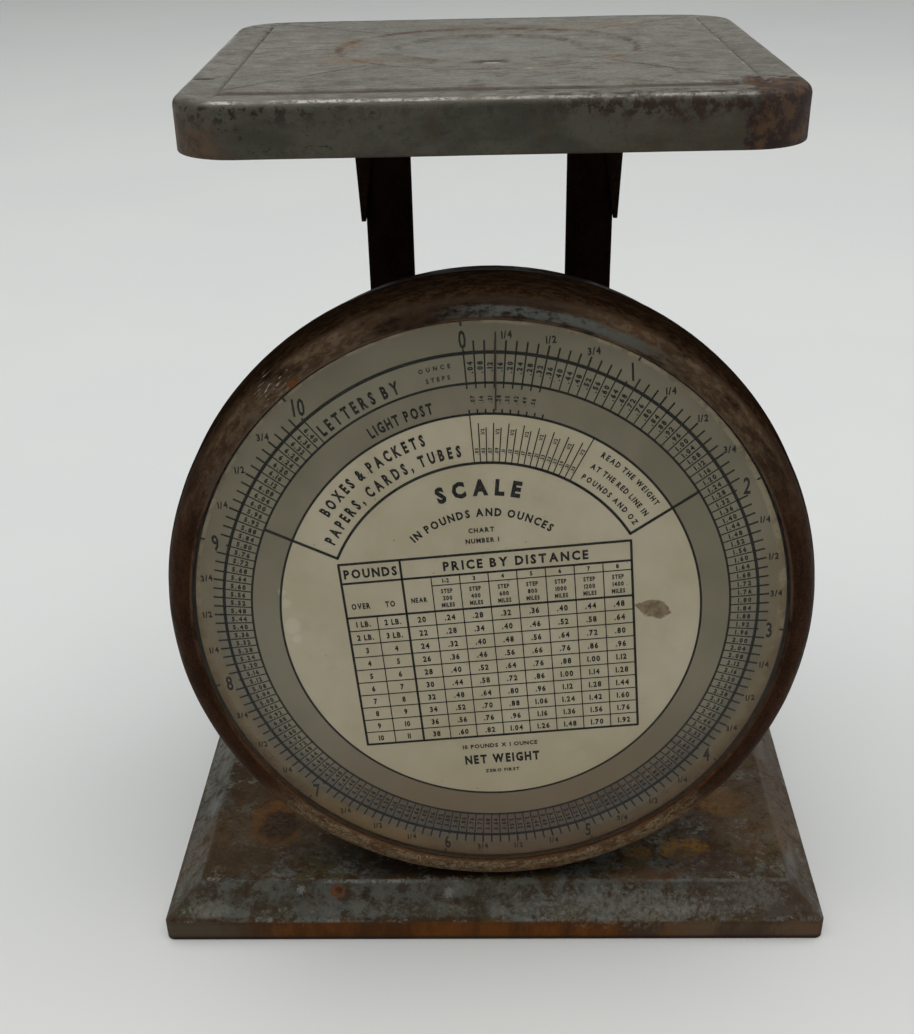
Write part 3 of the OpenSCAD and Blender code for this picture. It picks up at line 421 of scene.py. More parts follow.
    # speckle
    pit = g.mul(g.mr(g.vor(0.38, seed=9), 0.0, 0.20, 1, 0), g.mr(g.noise(0.12, 3, 0.6, seed=82), 0.48, 0.60))
    col = g.mix(g.mul(pit, 0.75), col, (0.022, 0.013, 0.009))
    sp = g.mul(g.mr(g.vor(0.6, seed=11), 0.0, 0.15, 1, 0), g.mr(g.noise(0.15, 3, 0.6, seed=83), 0.58, 0.66))
    col = g.mix(g.mul(sp, 0.6), col, (0.35, 0.36, 0.34))
    # mitre lines at the corners collect brown
    mit = g.mul(g.mr(g.ab(g.sub(ax, ay)), 0.2, 2.2, 1, 0), g.mr(d, 90.5, 92))
    col = g.mix(g.mul(g.mul(mit, g.mr(mot, 0.40, 0.55)), 0.8), col, (0.060, 0.036, 0.020))
    rusty = g.mx(g.mul(lip, 0.8), g.mr(mot, 0.5, 0.62))
    rough = g.mf(rusty, g.mr(fine, 0.35, 0.65, 0.34, 0.52), 0.66)
    h = g.add(g.mul(fine, 0.45), g.mul(mot, 1.4))
    h = g.add(h, g.mul(g.noise(2.2, 4, 0.7, seed=84), 0.3))
    h = g.sub(h, g.mul(pit, 0.6))
    g.bsdf(col, rough, spec=0.09, normal=g.bump(h, 0.18, 0.9))
    return g.m


def dial_polar(g):
    """radius (mm), angle (turns, 0 at top, clockwise as seen from the front) about the dial axis"""
    zz = g.mul(g.sub(g.z, DZ), 1.0 / DS)
    gx = g.mul(g.x, 1.0 / DS)
    r = g.vm("LENGTH", g.vec(gx, 0.0, zz))
    ang = g.ma("ARCTAN2", gx, zz)
    return r, ang, zz


def mat_bezel():
    g = G("bezel_worn")
    r, ang, zz = dial_polar(g)
    f = g.mul(g.y, -1.0)
    # swept coordinates so that the wear runs round the ring
    u = g.vec(g.mul(ang, 84.0), r, f)
    nb = g.noise(0.035, 5, 0.65, seed=101)
    n1 = g.noise(0.16, 6, 0.72, seed=102, v=u, stretch=(0.45, 1.3, 1.3))
    n2 = g.noise(0.55, 6, 0.75, seed=103, v=u, stretch=(0.6, 1.2, 1.2))
    n3 = g.noise(1.9, 4, 0.75, seed=104)
    rn = g.add(r, g.mul(g.sub(n1, 0.5), 1.8))
    top = g.mr(g.add(zz, g.mul(g.sub(nb, 0.5), 30)), 22, 62)
    rust = g.mix(g.mr(n1, 0.40, 0.60), (0.022, 0.0085, 0.0035), (0.040, 0.0165, 0.0065))
    rust = g.mix(g.mul(g.mr(n2, 0.50, 0.64), 0.75), rust, (0.018, 0.009, 0.006))
    rust = g.mix(g.mul(g.mr(n3, 0.54, 0.62), 0.5), rust, (0.078, 0.038, 0.017))
    rust = g.mix(g.mul(g.mr(n3, 0.46, 0.38), 0.5), rust, (0.014, 0.007, 0.004))
    # upper slope: dark outside, tan drag marks nearer the glass
    up = g.mix(g.mr(n2, 0.42, 0.60), (0.012, 0.006, 0.003), (0.036, 0.020, 0.010))
    tan = g.mul(g.mul(g.mr(rn, 88.7, 86.8), g.mr(n1, 0.34, 0.54)), g.mr(g.ab(g.add(g.x, g.mul(g.sub(nb, 0.5), 20))), 12, 38, 0.15, 1.0))
    up = g.mix(g.mul(tan, 0.9), up, g.mix(g.mr(n2, 0.40, 0.58), (0.130, 0.090, 0.054), (0.070, 0.041, 0.022)))
    col = g.mix(top, rust, up)
    # crown: painted highlight, a blue-grey band near the glass at the top
    crown_highlight = g.mul(g.mul(g.mr(rn, 85.9, 84.9), g.mr(rn, 82.5, 83.2)), g.mr(g.ab(g.sub(g.x, 17)), 34, 12))
    crown_highlight = g.mul(crown_highlight, g.mul(g.mr(zz, 40, 60), g.mr(n2, 0.34, 0.56)))
    col = g.mix(g.mul(crown_highlight, 0.9), col, (0.112, 0.120, 0.108))
    isl2 = g.mul(g.mul(g.mr(n1, 0.55, 0.64), g.mr(rn, 88.4, 87.0)), g.mul(top, g.mr(g.ab(g.x), 30, 55)))
    col = g.mix(g.mul(isl2, 0.5), col, (0.085, 0.080, 0.066))
    # lower part: paint flaked to pale undercoat
    low = g.mr(g.add(zz, g.mul(g.sub(nb, 0.5), 26)), -50, -72)
    pale = g.mul(low, g.mr(n2, 0.40, 0.58))
    col = g.mix(g.mul(low, 0.6), col, (0.115, 0.068, 0.034))
    col = g.mix(g.mul(g.mul(pale, g.mr(n3, 0.38, 0.56)), 0.75), col, (0.300, 0.228, 0.140))
    col = g.mix(g.mul(low, g.mul(g.mr(n1, 0.54, 0.62), 0.8)), col, (0.110, 0.055, 0.028))
    # rust in the seam against the glass
    sn = g.mr(n2, 0.42, 0.6)
    seam = g.mul(g.mr(rn, 82.6, 82.05), g.mr(g.add(zz, g.mul(g.sub(n1, 0.5), 22)), -10, -50))
    col = g.mix(g.mul(seam, 0.92), col, g.mix(sn, (0.125, 0.050, 0.015), (0.045, 0.018, 0.008)))
    seam2 = g.mul(g.mr(rn, 82.9, 82.3), g.mr(n1, 0.36, 0.54))
    col = g.mix(g.mul(seam2, g.mr(zz, -40, 10, 0.2, 0.75)), col, (0.115, 0.068, 0.045))
    # scratches, dots
    fl = g.mul(g.mr(g.vor(0.9, seed=21), 0.0, 0.14, 1, 0), g.mr(g.noise(0.09, 3, 0.6, seed=105), 0.52, 0.62))
    col = g.mix(g.mul(fl, 0.45), col, (0.22, 0.19, 0.15))
    sc = g.mul(g.mr(g.noise(0.5, 3, 0.6, dist=2.0, seed=106, v=u, stretch=(0.35, 2.4, 2.4)), 0.60, 0.65), g.spot((-52.5, -90.5, 169), 5.2, 0.4, 1.2, 0.15, 107))
    col = g.mix(g.mul(sc, 0.85), col, (0.46, 0.42, 0.38))
    org = g.mul(g.spot((-47.8, -90.8, 169.4), 1.9, 0.5, 1.4, 0.5, 109), g.mr(n2, 0.36, 0.50))
    col = g.mix(g.mul(org, 0.8), col, (0.160, 0.060, 0.014))
    # outer edge: black at the top, dirt together with painted shade under the platform; pale grey below, a painted
    # highlight
    rim = g.mr(g.add(r, g.mul(g.sub(n2, 0.5), 0.7)), 88.7, 89.15)
    rimc = g.mix(g.mr(zz, -10, -45), g.mix(g.mr(n2, 0.44, 0.60), (0.009, 0.005, 0.003), (0.022, 0.012, 0.006)), g.mix(g.mr(n2, 0.45, 0.6), (0.075, 0.062, 0.050), (0.170, 0.155, 0.135)))
    col = g.mix(g.mul(rim, 0.9), col, rimc)
    rough = g.mf(top, g.mr(n2, 0.35, 0.65, 0.50, 0.70), g.mr(n2, 0.35, 0.65, 0.38, 0.56))
    h = g.add(g.mul(n2, 1.0), g.mul(n3, 0.6))
    h = g.add(h, g.mul(pale, 0.4))
    g.bsdf(col, rough, spec=g.mf(g.mx(g.mul(rim, g.mr(zz, -10, 20)), g.mul(top, g.mr(r, 86.5, 88.0))), 0.05, 0.0), normal=g.bump(h, 0.12, 0.9))
    return g.m


def mat_drum():
    g = G("drum_black_enamel")
    n1 = g.noise(0.12, 6, 0.7, seed=121)
    n2 = g.noise(0.9, 5, 0.7, seed=122)
    col = g.mix(g.mr(n1, 0.50, 0.64), (0.012, 0.011, 0.011), (0.036, 0.022, 0.014))
    col = g.mix(g.mul(g.mr(n2, 0.56, 0.68), 0.55), col, (0.085, 0.045, 0.024))
    wear = g.mr(g.noise(0.3, 5, 0.7, seed=123), 0.60, 0.70)
    col = g.mix(g.mul(wear, 0.35), col, (0.15, 0.13, 0.11))
    h = g.add(g.mul(n1, 1.2), g.mul(n2, 0.4))
    g.bsdf(col, g.mr(n1, 0.4, 0.65, 0.30, 0.55), spec=0.10, normal=g.bump(h, 0.12, 0.6))
    return g.m


def mat_dark(name="housing_black", seed=131, rust=0.5, base=(0.016, 0.015, 0.014), rlo=0.34):
    g = G(name)
    n0 = g.noise(0.028, 4, 0.6, seed=seed)
    n1 = g.noise(0.11, 6, 0.7, seed=seed + 1)
    n2 = g.noise(0.8, 5, 0.7, seed=seed + 2)
    col = g.mix(g.mr(n0, 0.4, 0.6), base, tuple(c * 1.9 for c in base))
    m = g.mul(g.mr(n1, 0.52, 0.64), rust)
    col = g.mix(m, col, g.mix(g.mr(n2, 0.42, 0.60), (0.050, 0.024, 0.013), (0.110, 0.055, 0.026)))
    ao = g.mr(g.ao(6.0), 0.35, 0.85, 1, 0)
    col = g.mix(g.mul(ao, 0.5), col, (0.045, 0.034, 0.022))
    bv = g.node("ShaderNodeBevel", samples=4)
    bv.inputs["Radius"].default_value = 0.7 * MM
    geo = g.node("ShaderNodeNewGeometry")
    e = g.mr(g.vm("DOT_PRODUCT", bv.outputs[0], geo.outputs["Normal"]), 0.985, 0.90)
    e = g.mul(e, g.mr(n2, 0.42, 0.6))
    col = g.mix(g.mul(e, 0.6), col, (0.16, 0.13, 0.10))
    h = g.add(g.mul(n1, 0.9), g.mul(n2, 0.45))
    g.bsdf(col, g.mf(m, g.mr(n1, 0.35, 0.65, rlo, rlo + 0.16), 0.72), spec=0.2, normal=g.bump(h, 0.12, 0.7))
    return g.m


def mat_leg():
    g = G("leg_rusted")
    n1 = g.noise(0.14, 6, 0.72, seed=141, stretch=(1, 1, 0.6))
    n2 = g.noise(0.75, 6, 0.75, seed=142)
    n3 = g.noise(2.4, 3, 0.7, seed=143)
    col = g.mix(g.mr(n1, 0.40, 0.62), (0.009, 0.0045, 0.002), (0.019, 0.008, 0.0035))
    col = g.mix(g.mul(g.mr(n2, 0.52, 0.66), 0.7), col, (0.026, 0.010, 0.004))
    col = g.mix(g.mul(g.mr(n3, 0.58, 0.68), 0.4), col, (0.050, 0.024, 0.012))
    ed = g.mul(g.mr(g.ab(g.sub(g.ab(g.x), 28.9)), 5.6, 6.6), g.mr(n2, 0.40, 0.6))
    col = g.mix(g.mul(ed, 0.4), col, (0.040, 0.026, 0.017))
    h = g.add(n2, g.mul(n3, 0.6))
    g.bsdf(col, g.mr(n2, 0.35, 0.65, 0.48, 0.72), spec=0.03, normal=g.bump(h, 0.16, 0.9))
    return g.m


def mat_metal(name, base, seed, rough=(0.28, 0.5), tarn=(0.12, 0.07, 0.04), amt=0.5, metal=0.95, brushed=(1, 1, 1)):
    g = G(name)
    n1 = g.noise(0.25, 5, 0.65, seed=seed)
    n2 = g.noise(1.6, 5, 0.7, seed=seed + 1, stretch=brushed)
    m = g.mul(g.mr(n1, 0.50, 0.66), amt)
    col = g.mix(g.mr(n2, 0.3, 0.7), tuple(c * 0.8 for c in base), base)
    col = g.mix(m, col, tarn)
    ao = g.mr(g.ao(2.0), 0.3, 0.8, 1, 0)
    col = g.mix(g.mul(ao, 0.6), col, tuple(c * 0.4 for c in tarn))
    g.bsdf(col, g.mf(m, g.mr(n2, 0.3, 0.7, *rough), 0.7), metal=g.mul(g.inv(m), metal), spec=0.5,
           normal=g.bump(g.add(n2, g.mul(n1, 0.6)), 0.05, 0.6))
    return g.m


def mat_rubber():
    g = G("bumper_rubber")
    n = g.noise(0.8, 5, 0.7, seed=161)
    n2 = g.noise(0.15, 4, 0.6, seed=162)
    col = g.mix(g.mr(n2, 0.4, 0.65), (0.018, 0.018, 0.018), (0.05, 0.046, 0.040))
    g.bsdf(col, g.mr(n, 0.3, 0.7, 0.62, 0.85), spec=0.3, normal=g.bump(n, 0.06, 0.6))
    return g.m


def mat_dial():
    g = G("dial_card")
    r, ang, zz = dial_polar(g)
    w1 = g.noise(0.045, 5, 0.6, seed=171)
    w2 = g.noise(0.16, 5, 0.65, seed=172)
    w3 = g.noise(0.9, 4, 0.65, seed=173)
    cream = g.mix(g.mr(w1, 0.35, 0.65), (0.532, 0.476, 0.338), (0.588, 0.531, 0.394))
    cream = g.mix(g.mul(g.mr(w2, 0.52, 0.70), 0.25), cream, (0.470, 0.396, 0.264))
    cream = g.mix(g.mul(g.mr(g.add(zz, g.mul(g.sub(w1, 0.5), 30)), -22, -58), 0.55), cream, (0.478, 0.398, 0.252))
    # upper annulus olive-grey; lower turns greyer and browner
    olive = g.mix(g.mr(w1, 0.35, 0.65), (0.201, 0.180, 0.121), (0.246, 0.217, 0.148))
    low = g.mr(zz, -15, -66)
    olive = g.mix(g.mul(low, 0.75), olive, (0.200, 0.138, 0.080))
    olive = g.mix(g.mul(g.mr(g.x, -20, -60), g.mul(g.mr(zz, 30, -20), 0.35)), olive, (0.268, 0.250, 0.200))
    col = g.mix(g.mr(r, 57.7, 58.3), cream, olive)
    # the cream stops at r3, also in the lettering sector between the two radial lines
    # the cell ring is printed on a paler strip
    cell = g.mul(g.mr(r, 65.7, 66.1), g.mr(r, 73.8, 73.4))
    col = g.mix(g.mul(cell, 0.22), col, (0.38, 0.355, 0.275))
    cellow = g.mul(g.mul(g.mr(r, 65.5, 66.3), g.mr(r, 74.4, 73.2)), g.mr(g.add(zz, g.mul(g.sub(w1, 0.5), 40)), -28, -58))
    cellow = g.mul(cellow, g.mr(g.add(g.x, g.mul(g.sub(w1, 0.5), 40)), -58, -30, 0.35, 1.0))
    col = g.mix(g.mul(cellow, 0.85), col, g.mix(g.mr(w2, 0.4, 0.6), (0.078, 0.052, 0.038), (0.118, 0.084, 0.058)))
    # outside a circle set slightly high, the card is paler at the top and darker brown below
    off = g.vm("LENGTH", g.vec(g.add(g.x, 0.4), 0.0, g.sub(zz, 1.9)))
    offw = g.add(off, g.mul(g.sub(w2, 0.5), 0.8))
    rimz = g.mr(offw, 78.3, 79.1)
    rimc = g.mix(g.mr(zz, 20, -50), (0.420, 0.345, 0.215), (0.150, 0.098, 0.040))
    rimc = g.mix(g.mul(g.mr(g.x, 0, -45), g.mul(g.mr(zz, 20, -30), 0.75)), rimc, (0.225, 0.145, 0.062))
    rimc = g.mix(g.mul(g.mr(w2, 0.44, 0.58), 0.6), rimc, (0.13, 0.088, 0.045))
    rimc = g.mix(g.mul(g.mr(w3, 0.52, 0.64), 0.35), rimc, (0.07, 0.045, 0.024))
    col = g.mix(g.mul(rimz, 0.85), col, rimc)
    warm = g.mul(g.mul(g.mr(r, 74.2, 76.0), g.mr(zz, 45, -10)), g.mr(w2, 0.36, 0.56, 0.30, 0.68))
    col = g.mix(warm, col, g.mix(g.mr(zz, -30, -62), (0.190, 0.134, 0.068), (0.115, 0.078, 0.038)))
    # painted shade: a bluish dark band round the tick circle, stronger below
    tick_band_shade = g.mul(g.mr(g.ab(g.sub(g.add(r, g.mul(g.sub(w2, 0.5), 2.0)), 73.4)), 0.8, 4.2, 1, 0), g.mr(g.add(zz, g.mul(g.sub(w1, 0.5), 30)), 42, -62, 0.0, 1.0))
    col = g.mix(g.mul(tick_band_shade, 0.60), col, (0.088, 0.086, 0.078))
    # warm dirt near the bezel, low on the ring
    drt = g.mul(g.mr(g.add(r, g.mul(g.sub(w2, 0.5), 3.5)), 78.6, 81.2), g.mr(zz, 0, -58))
    col = g.mix(g.mul(drt, 0.80), col, g.mix(g.mr(w3, 0.4, 0.6), (0.150, 0.085, 0.028), (0.085, 0.045, 0.016)))
    st = g.mul(g.spot((-37.7, -89, 36.2), 17, 0.5, 0.9, 0.07, 174, (0.7, 0, 1.3)), g.mr(r, 75.5, 78))
    col = g.mix(g.mul(st, 0.55), col, (0.235, 0.140, 0.048))
    st = g.mul(g.spot((8, -89, 30.2), 12, 0.5, 0.9, 0.07, 175, (0.7, 0, 1.3)), g.mr(r, 59, 62))
    col = g.mix(g.mul(st, 0.35), col, (0.20, 0.12, 0.08))
    # foxing: specks and small pits
    spk = g.mul(g.mr(g.vor(0.24, seed=31), 0.0, 0.09, 1, 0), g.mr(g.noise(0.08, 3, 0.6, seed=176), 0.44, 0.56))
    col = g.mix(g.mul(spk, 0.75), col, (0.085, 0.055, 0.032))
    spk2 = g.mul(g.mr(g.vor(0.62, seed=33), 0.0, 0.12, 1, 0), g.mr(g.noise(0.11, 3, 0.6, seed=177), 0.54, 0.62))
    col = g.mix(g.mul(spk2, 0.5), col, (0.16, 0.10, 0.06))
    # pale scuffs beside the left of the cream disc
    for i, (px, pz, rad) in enumerate(((-56.5, 107.5, 1.3), (-55.2, 100.5, 2.2), (-57.2, 111, 1.0), (-54.3, 96.5, 1.2))):
        col = g.mix(g.mul(g.spot((px * DS, -89, DZ + (pz - 102.2) * DS), rad, 0.35, 1.2, 0.35, 178 + i, (1, 0, 1)), 0.32), col, (0.80, 0.75, 0.62))
    # a leaf shaped brown stain to the right of the table
    rot = g.node("ShaderNodeVectorRotate", rotation_type="AXIS_ANGLE")
    g.put(rot.inputs["Vector"], g.P)
    rot.inputs["Center"].default_value = (44.7, -89.0, 106.5)
    rot.inputs["Axis"].default_value = (0, 1, 0)
    rot.inputs["Angle"].default_value = math.radians(-14)
    q = g.vm("SUBTRACT", rot.outputs[0], (44.7, -89.0, 106.5))
    sq = g.node("ShaderNodeSeparateXYZ")
    g.t.links.new(q, sq.inputs[0])
    qx, qz = sq.outputs[0], sq.outputs[2]
    half = g.mr(g.ab(qx), 5.7, 1.2, 0.0, 2.7)
    lw = g.noise(0.42, 5, 0.7, seed=183)
    leaf = g.mr(g.sub(g.add(g.ab(qz), g.add(g.mul(g.sub(w3, 0.5), 1.2), g.mul(g.sub(lw, 0.5), 3.4))), half), 0.15, -0.35)
    leaf = g.mul(leaf, g.mr(g.ab(qx), 5.9, 5.0))
    leafc = g.mix(g.mr(g.noise(0.5, 4, 0.7, seed=182), 0.42, 0.6), (0.26, 0.185, 0.105), (0.155, 0.100, 0.052))
    col = g.mix(g.mul(leaf, 0.95), col, leafc)
    rough = g.mr(w2, 0.3, 0.7, 0.44, 0.60)
    h = g.add(g.mul(w3, 0.3), g.mul(spk, 0.4))
    g.bsdf(col, rough, spec=0.35, normal=g.bump(h, 0.05, 0.5))
    return g.m


def mat_ink():
    g = G("dial_ink")
    r, ang, zz = dial_polar(g)
    n = g.noise(1.4, 4, 0.7, seed=191)
    n2 = g.noise(0.06, 4, 0.6, seed=192)
    col = g.mix(g.mr(n, 0.35, 0.7), (0.006, 0.006, 0.006), (0.018, 0.017, 0.015))
    # outside the cream the print has greyed, most of all beside and below
    fade = g.mul(g.mr(r, 62.0, 66.0), g.mr(zz, 50, -25, 0.10, 0.30))
    out = g.mul(g.mr(r, 74.4, 75.2), g.mul(g.mr(r, 83, 80), 0.12))
    f = g.mul(g.add(fade, out), 0.25)
    f = g.mul(f, g.mr(n2, 0.38, 0.62, 0.6, 1.25))
    col = g.mix(f, col, (0.150, 0.140, 0.112))
    g.bsdf(col, g.mr(n, 0.3, 0.7, 0.42, 0.6), spec=0.15, normal=g.bump(n, 0.02, 0.4))
    return g.m


def mat_hair():
    g = G("hairline_red")
    n = g.noise(0.9, 4, 0.7, seed=195)
    col = g.mix(g.mr(n, 0.4, 0.65), (0.085, 0.022, 0.018), (0.040, 0.014, 0.012))
    g.bsdf(col, 0.5, spec=0.4, normal=g.bump(n, 0.02, 0.4))
    return g.m


def mat_lens():
    g = G("lens_clear_aged")
    r, ang, zz = dial_polar(g)
    n1 = g.noise(0.07, 5, 0.65, seed=201)
    n2 = g.noise(0.9, 5, 0.7, seed=202)
    tr = g.node("ShaderNodeBsdfTransparent")
    tint = g.mix(g.mr(n1, 0.4, 0.65), (0.992, 0.992, 0.985), (0.982, 0.980, 0.965))
    g.put(tr.inputs["Color"], tint)
    gl = g.node("ShaderNodeBsdfGlossy")
    g.put(gl.inputs["Color"], (0.9, 0.92, 0.92))
    g.put(gl.inputs["Roughness"], g.mr(n2, 0.35, 0.7, 0.06, 0.16))
    g.put(gl.inputs["Normal"], g.bump(g.add(n1, g.mul(n2, 0.05)), 0.12, 0.35))
    lw = g.node("ShaderNodeFresnel")
    lw.inputs["IOR"].default_value = 1.46
    m1 = g.node("ShaderNodeMixShader")
    g.put(m1.inputs[0], g.mul(lw.outputs[0], 0.18))
    g.t.links.new(tr.outputs[0], m1.inputs[1])
    g.t.links.new(gl.outputs[0], m1.inputs[2])
    # thin film of dust, thicker against the rim
    df = g.node("ShaderNodeBsdfDiffuse")
    g.put(df.inputs["Color"], g.mix(g.mr(zz, -20, -60), (0.42, 0.40, 0.33), (0.40, 0.27, 0.15)))
    dust = g.add(g.mr(n1, 0.35, 0.8, 0.0, 0.015), g.mul(g.mr(g.add(r, g.mul(g.sub(n1, 0.5), 6)), 78.0, 82.5), g.mr(zz, 20, -60, 0.015, 0.055)))
    spk = g.mul(g.mr(g.vor(0.5, seed=41), 0.0, 0.10, 1, 0), g.mr(g.noise(0.09, 3, 0.6, seed=203), 0.52, 0.6))
    dust = g.add(dust, g.mul(spk, 0.12))
    m2 = g.node("ShaderNodeMixShader")
    g.put(m2.inputs[0], dust)
    g.t.links.new(m1.outputs[0], m2.inputs[1])
    g.t.links.new(df.outputs[0], m2.inputs[2])
    g.t.links.new(m2.outputs[0], g.out.inputs["Surface"])
    return g.m


M_PLAT, M_BASE, M_BEZ, M_DRUM = mat_platform(), mat_base(), mat_bezel(), mat_drum()
M_DARK = mat_dark()
M_DARK2 = mat_dark("frame_grey_dark", 135, 0.45, (0.060, 0.058, 0.052), 0.38)
M_LEG = mat_leg()
M_RETAIN = mat_dark("retainer_rusted", 137, 1.0, (0.060, 0.030, 0.014), 0.5)
M_STEEL = mat_metal("steel_plain", (0.48, 0.47, 0.45), 151, (0.30, 0.46), amt=0.55)
M_SCREW = mat_metal("screw_dark", (0.20, 0.19, 0.18), 153, (0.34, 0.52), amt=0.75)
M_SPRING = mat_metal("spring_wire", (0.36, 0.35, 0.34), 155, (0.26, 0.42), amt=0.35)
M_BRASS = mat_metal("brass_aged", (0.60, 0.42, 0.16), 157, (0.26, 0.44), (0.14, 0.085, 0.03), 0.5)
M_RUB, M_DIAL, M_INK, M_HAIR, M_LENS = mat_rubber(), mat_dial(), mat_ink(), mat_hair(), mat_lens()


# ------------------------------------------------------------------ mesh helpers
def smooth_noise(p, scale, seed=0.0):
    return mnoise.noise(Vector((p[0] * scale + seed, p[1] * scale - seed * 0.7, p[2] * scale + seed * 1.3)))


def mesh_obj(name, verts, faces, smooth=True, mat=None):
    me = bpy.data.meshes.new(name)
    me.from_pydata([tuple(c * MM for c in v) for v in verts], [], faces)
    me.update()
    bm = bmesh.new()
    bm.from_mesh(me)
    bmesh.ops.recalc_face_normals(bm, faces=bm.faces)
    bm.to_mesh(me)
    bm.free()
    if smooth:
        me.shade_smooth()
    ob = bpy.data.objects.new(name, me)
    scene.collection.objects.link(ob)
    if mat:
        me.materials.append(mat)
    return ob


def sharp_by_angle(ob, deg):
    bm = bmesh.new()
    bm.from_mesh(ob.data)
    lim = math.radians(deg)
    for e in bm.edges:
        if len(e.link_faces) == 2 and e.calc_face_angle(0) > lim:
            e.smooth = False
    bm.to_mesh(ob.data)
    bm.free()


def rsq(half, r, nc, ns):
    """points of a rounded square, counter-clockwise, 4*(nc+ns) of them, with one on each diagonal (nc even)"""
    pts = []
    r = max(r, 1e-3)
    for k in range(4):
        a0 = k * math.pi / 2
        ca, sa = math.cos(a0), math.sin(a0)
        loc = []
        for i in range(ns):           # side, from -y to +y at x=half
            t = i / ns
            t = 0.5 - 0.5 * math.cos(math.pi * t) * 0.55 - 0.45 * (0.5 - t)
            t = i / ns * 0.5 + t * 0.5
            loc.append((half, -(half - r) + 2 * (half - r) * (i / ns)))
        for i in range(nc):           # corner
            t = (i / nc) * math.pi / 2
            loc.append((half - r + r * math.cos(t), half - r + r * math.sin(t)))
        for x, y in loc:
            pts.append((x * ca - y * sa, x * sa + y * ca))
    return pts


def loops_mesh(loops, close_first=None, close_last=None):
    """quads between successive loops of equal count; optional centre points"""
    verts, faces = [], []
    n = len(loops[0])
    for lp in loops:
        verts += lp
    for k in range(len(loops) - 1):
        a, b = k * n, (k + 1) * n
        for i in range(n):
            j = (i + 1) % n
            faces.append((a + i, a + j, b + j, b + i))
    if close_first is not None:
        c = len(verts)
        verts.append(close_first)
        for i in range(n):
            faces.append((c, (i + 1) % n, i))
    if close_last is not None:
        c = len(verts)
        verts.append(close_last)
        o = (len(loops) - 1) * n
        for i in range(n):
            faces.append((c, o + i, o + (i + 1) % n))
    return verts, faces


def sstep(x, a, b):
    t = min(1.0, max(0.0, (x - a) / (b - a)))
    return t * t * (3 - 2 * t)


# ------------------------------------------------------------------ platform
PL_TOP, PL_BOT, PL_H, PL_RC, PL_RE = 230.6, 218.2, 76.5, 16.0, 2.6


def smax(a, b, k):
    h = max(k - abs(a - b), 0.0) / k
    return max(a, b) + h * h * k * 0.25


def plat_z(x, y):
    d = smax(abs(x), abs(y), 0.9)
    r = math.hypot(x, y)
    z = PL_TOP
    # pressed outline: shallow groove just outside, step up inside it
    z -= 0.34 * math.exp(-((d - 65.6) / 0.75) ** 2)
    z += 0.66 * (1 - sstep(d, 63.7, 65.2))
    z += 1.05 * max(0.0, 1 - d / 64.5)
    # rings
    z -= 0.46 * (1 - sstep(r, 39.4, 41.0))
    z -= 0.22 * math.exp(-((r - 40.9) / 0.8) ** 2)
    z += 0.20 * math.exp(-((r - 38.4) / 1.1) ** 2)
    z -= 0.42 * (1 - sstep(r, 24.0, 25.4))
    z += 0.26 * math.exp(-((r - 26.2) / 1.0) ** 2)
    # handling dents
    z += 0.16 * smooth_noise((x, y, 0), 0.035, 3.1) + 0.06 * smooth_noise((x, y, 0), 0.12, 8.0)
    return z


